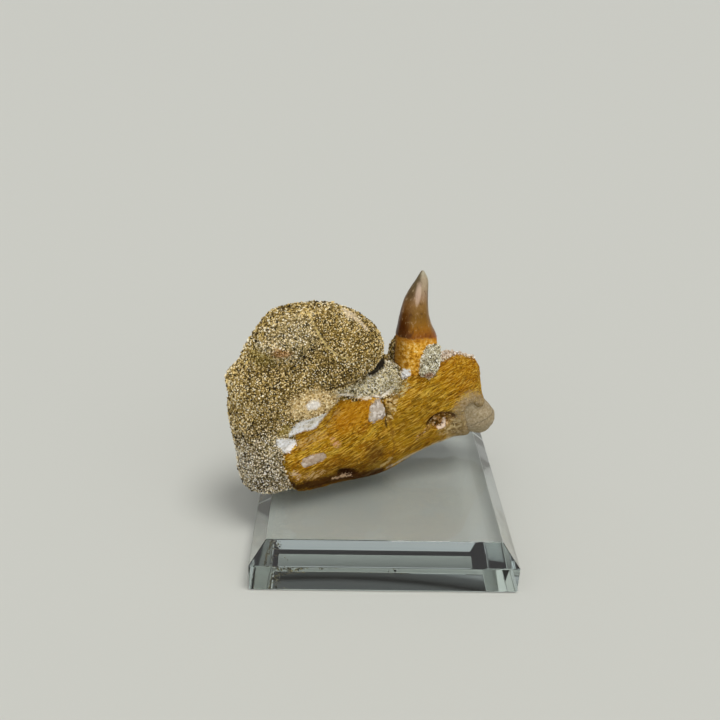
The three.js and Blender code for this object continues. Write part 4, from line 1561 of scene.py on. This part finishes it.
def camera_place(location, heading, pitch, roll):
    """Camera matrix from where it stands and the way that it looks."""
    forward = Vector(
        (math.sin(heading) * math.cos(pitch), math.cos(heading) * math.cos(pitch), -math.sin(pitch))
    )
    right = Vector((math.cos(heading), -math.sin(heading), 0.0))
    down = forward.cross(right)
    tilted_right = right * math.cos(roll) + down * math.sin(roll)
    tilted_down = down * math.cos(roll) - right * math.sin(roll)
    turn = Matrix((tilted_right, -tilted_down, -forward)).transposed().to_4x4()
    return Matrix.Translation(location) @ turn


class FOSSIL_OT_stage(bpy.types.Operator):
    """Make the plain floor, the soft light and the camera"""

    bl_idname = "fossil.stage"
    bl_label = "Stage"

    def execute(self, context):
        settings = context.scene.fossil_studio
        self.floor(settings)
        self.room(context, settings)
        self.key(settings)
        self.camera(context, settings)
        context.scene.view_settings.view_transform = "Standard"
        return {"FINISHED"}

    def floor(self, settings):
        shape = bmesh.new()
        bmesh.ops.create_grid(shape, x_segments=1, y_segments=1, size=FLOOR_SIZE)
        mesh = bpy.data.meshes.new("floor")
        shape.to_mesh(mesh)
        shape.free()
        floor = link("floor", mesh)
        floor.location.z = -FLOOR_DROP
        made = Finish("floor", 0.85)
        made.give("Base Color", (*settings.floor, 1.0))
        mesh.materials.append(made.material)

    def room(self, context, settings):
        """Light from all around, with a dark band high up behind a bright backdrop."""
        world = bpy.data.worlds.new("soft_room")
        world.use_nodes = True
        made = Nodes(world.node_tree)
        direction = made.node("ShaderNodeTexCoord").outputs["Generated"]
        parts = made.node("ShaderNodeSeparateXYZ", {0: direction}).outputs
        front = made.span(parts["Y"], -0.9, 0.1, FRONT_BOOST, 1.0)
        behind = made.ramp(parts["Z"], ROOM_HEIGHTS)
        background = made.tree.nodes["Background"].inputs
        made.feed(background["Color"], made.blend(made.span(parts["Y"], 0.1, 0.45), front, behind))
        made.feed(background["Strength"], settings.room_light)
        context.scene.world = world

    def key(self, settings):
        """One broad light from above, to the right and the front."""
        data = bpy.data.lights.new("key", "SUN")
        data.energy = settings.key_light
        data.angle = KEY_SPREAD
        data.color = KEY_COLOUR
        link("key", data).rotation_euler = KEY_FROM.to_track_quat("Z", "Y").to_euler()

    def camera(self, context, settings):
        data = bpy.data.cameras.new("camera")
        data.lens = settings.lens
        data.sensor_width = SENSOR_WIDTH
        data.clip_start = NEAREST_SEEN
        camera = link("camera", data)
        camera.matrix_world = camera_place(CAMERA_AT, CAMERA_HEADING, CAMERA_PITCH, CAMERA_ROLL)
        context.scene.camera = camera


# ---------------------------------------------------------------- panel and run
OPERATORS = (
    FOSSIL_OT_stand,
    FOSSIL_OT_matrix,
    FOSSIL_OT_jaw,
    FOSSIL_OT_tooth,
    FOSSIL_OT_small_pieces,
    FOSSIL_OT_crumbs,
    FOSSIL_OT_stage,
)


class FOSSIL_PT_panel(bpy.types.Panel):
    """Lists the pieces and their settings"""

    bl_label = "Fossil jaw"
    bl_idname = "FOSSIL_PT_panel"
    bl_space_type = "VIEW_3D"
    bl_region_type = "UI"
    bl_category = "Fossil"

    def draw(self, context):
        for name in SETTINGS:
            box = self.layout.box()
            group = getattr(context.scene, name)
            for key in group.bl_rna.properties.keys():
                if key not in ("rna_type", "name"):
                    box.prop(group, key)
        for operator in OPERATORS:
            self.layout.operator(operator.bl_idname)


def register():
    for name, group in SETTINGS.items():
        bpy.utils.register_class(group)
        setattr(bpy.types.Scene, name, bpy.props.PointerProperty(type=group))
    for operator in OPERATORS:
        bpy.utils.register_class(operator)
    bpy.utils.register_class(FOSSIL_PT_panel)


def unregister():
    bpy.utils.unregister_class(FOSSIL_PT_panel)
    for operator in reversed(OPERATORS):
        bpy.utils.unregister_class(operator)
    for name, group in SETTINGS.items():
        delattr(bpy.types.Scene, name)
        bpy.utils.unregister_class(group)


def main():
    register()
    for operator in OPERATORS:
        family, name = operator.bl_idname.split(".")
        getattr(getattr(bpy.ops, family), name)()


if __name__ == "__main__":
    main()
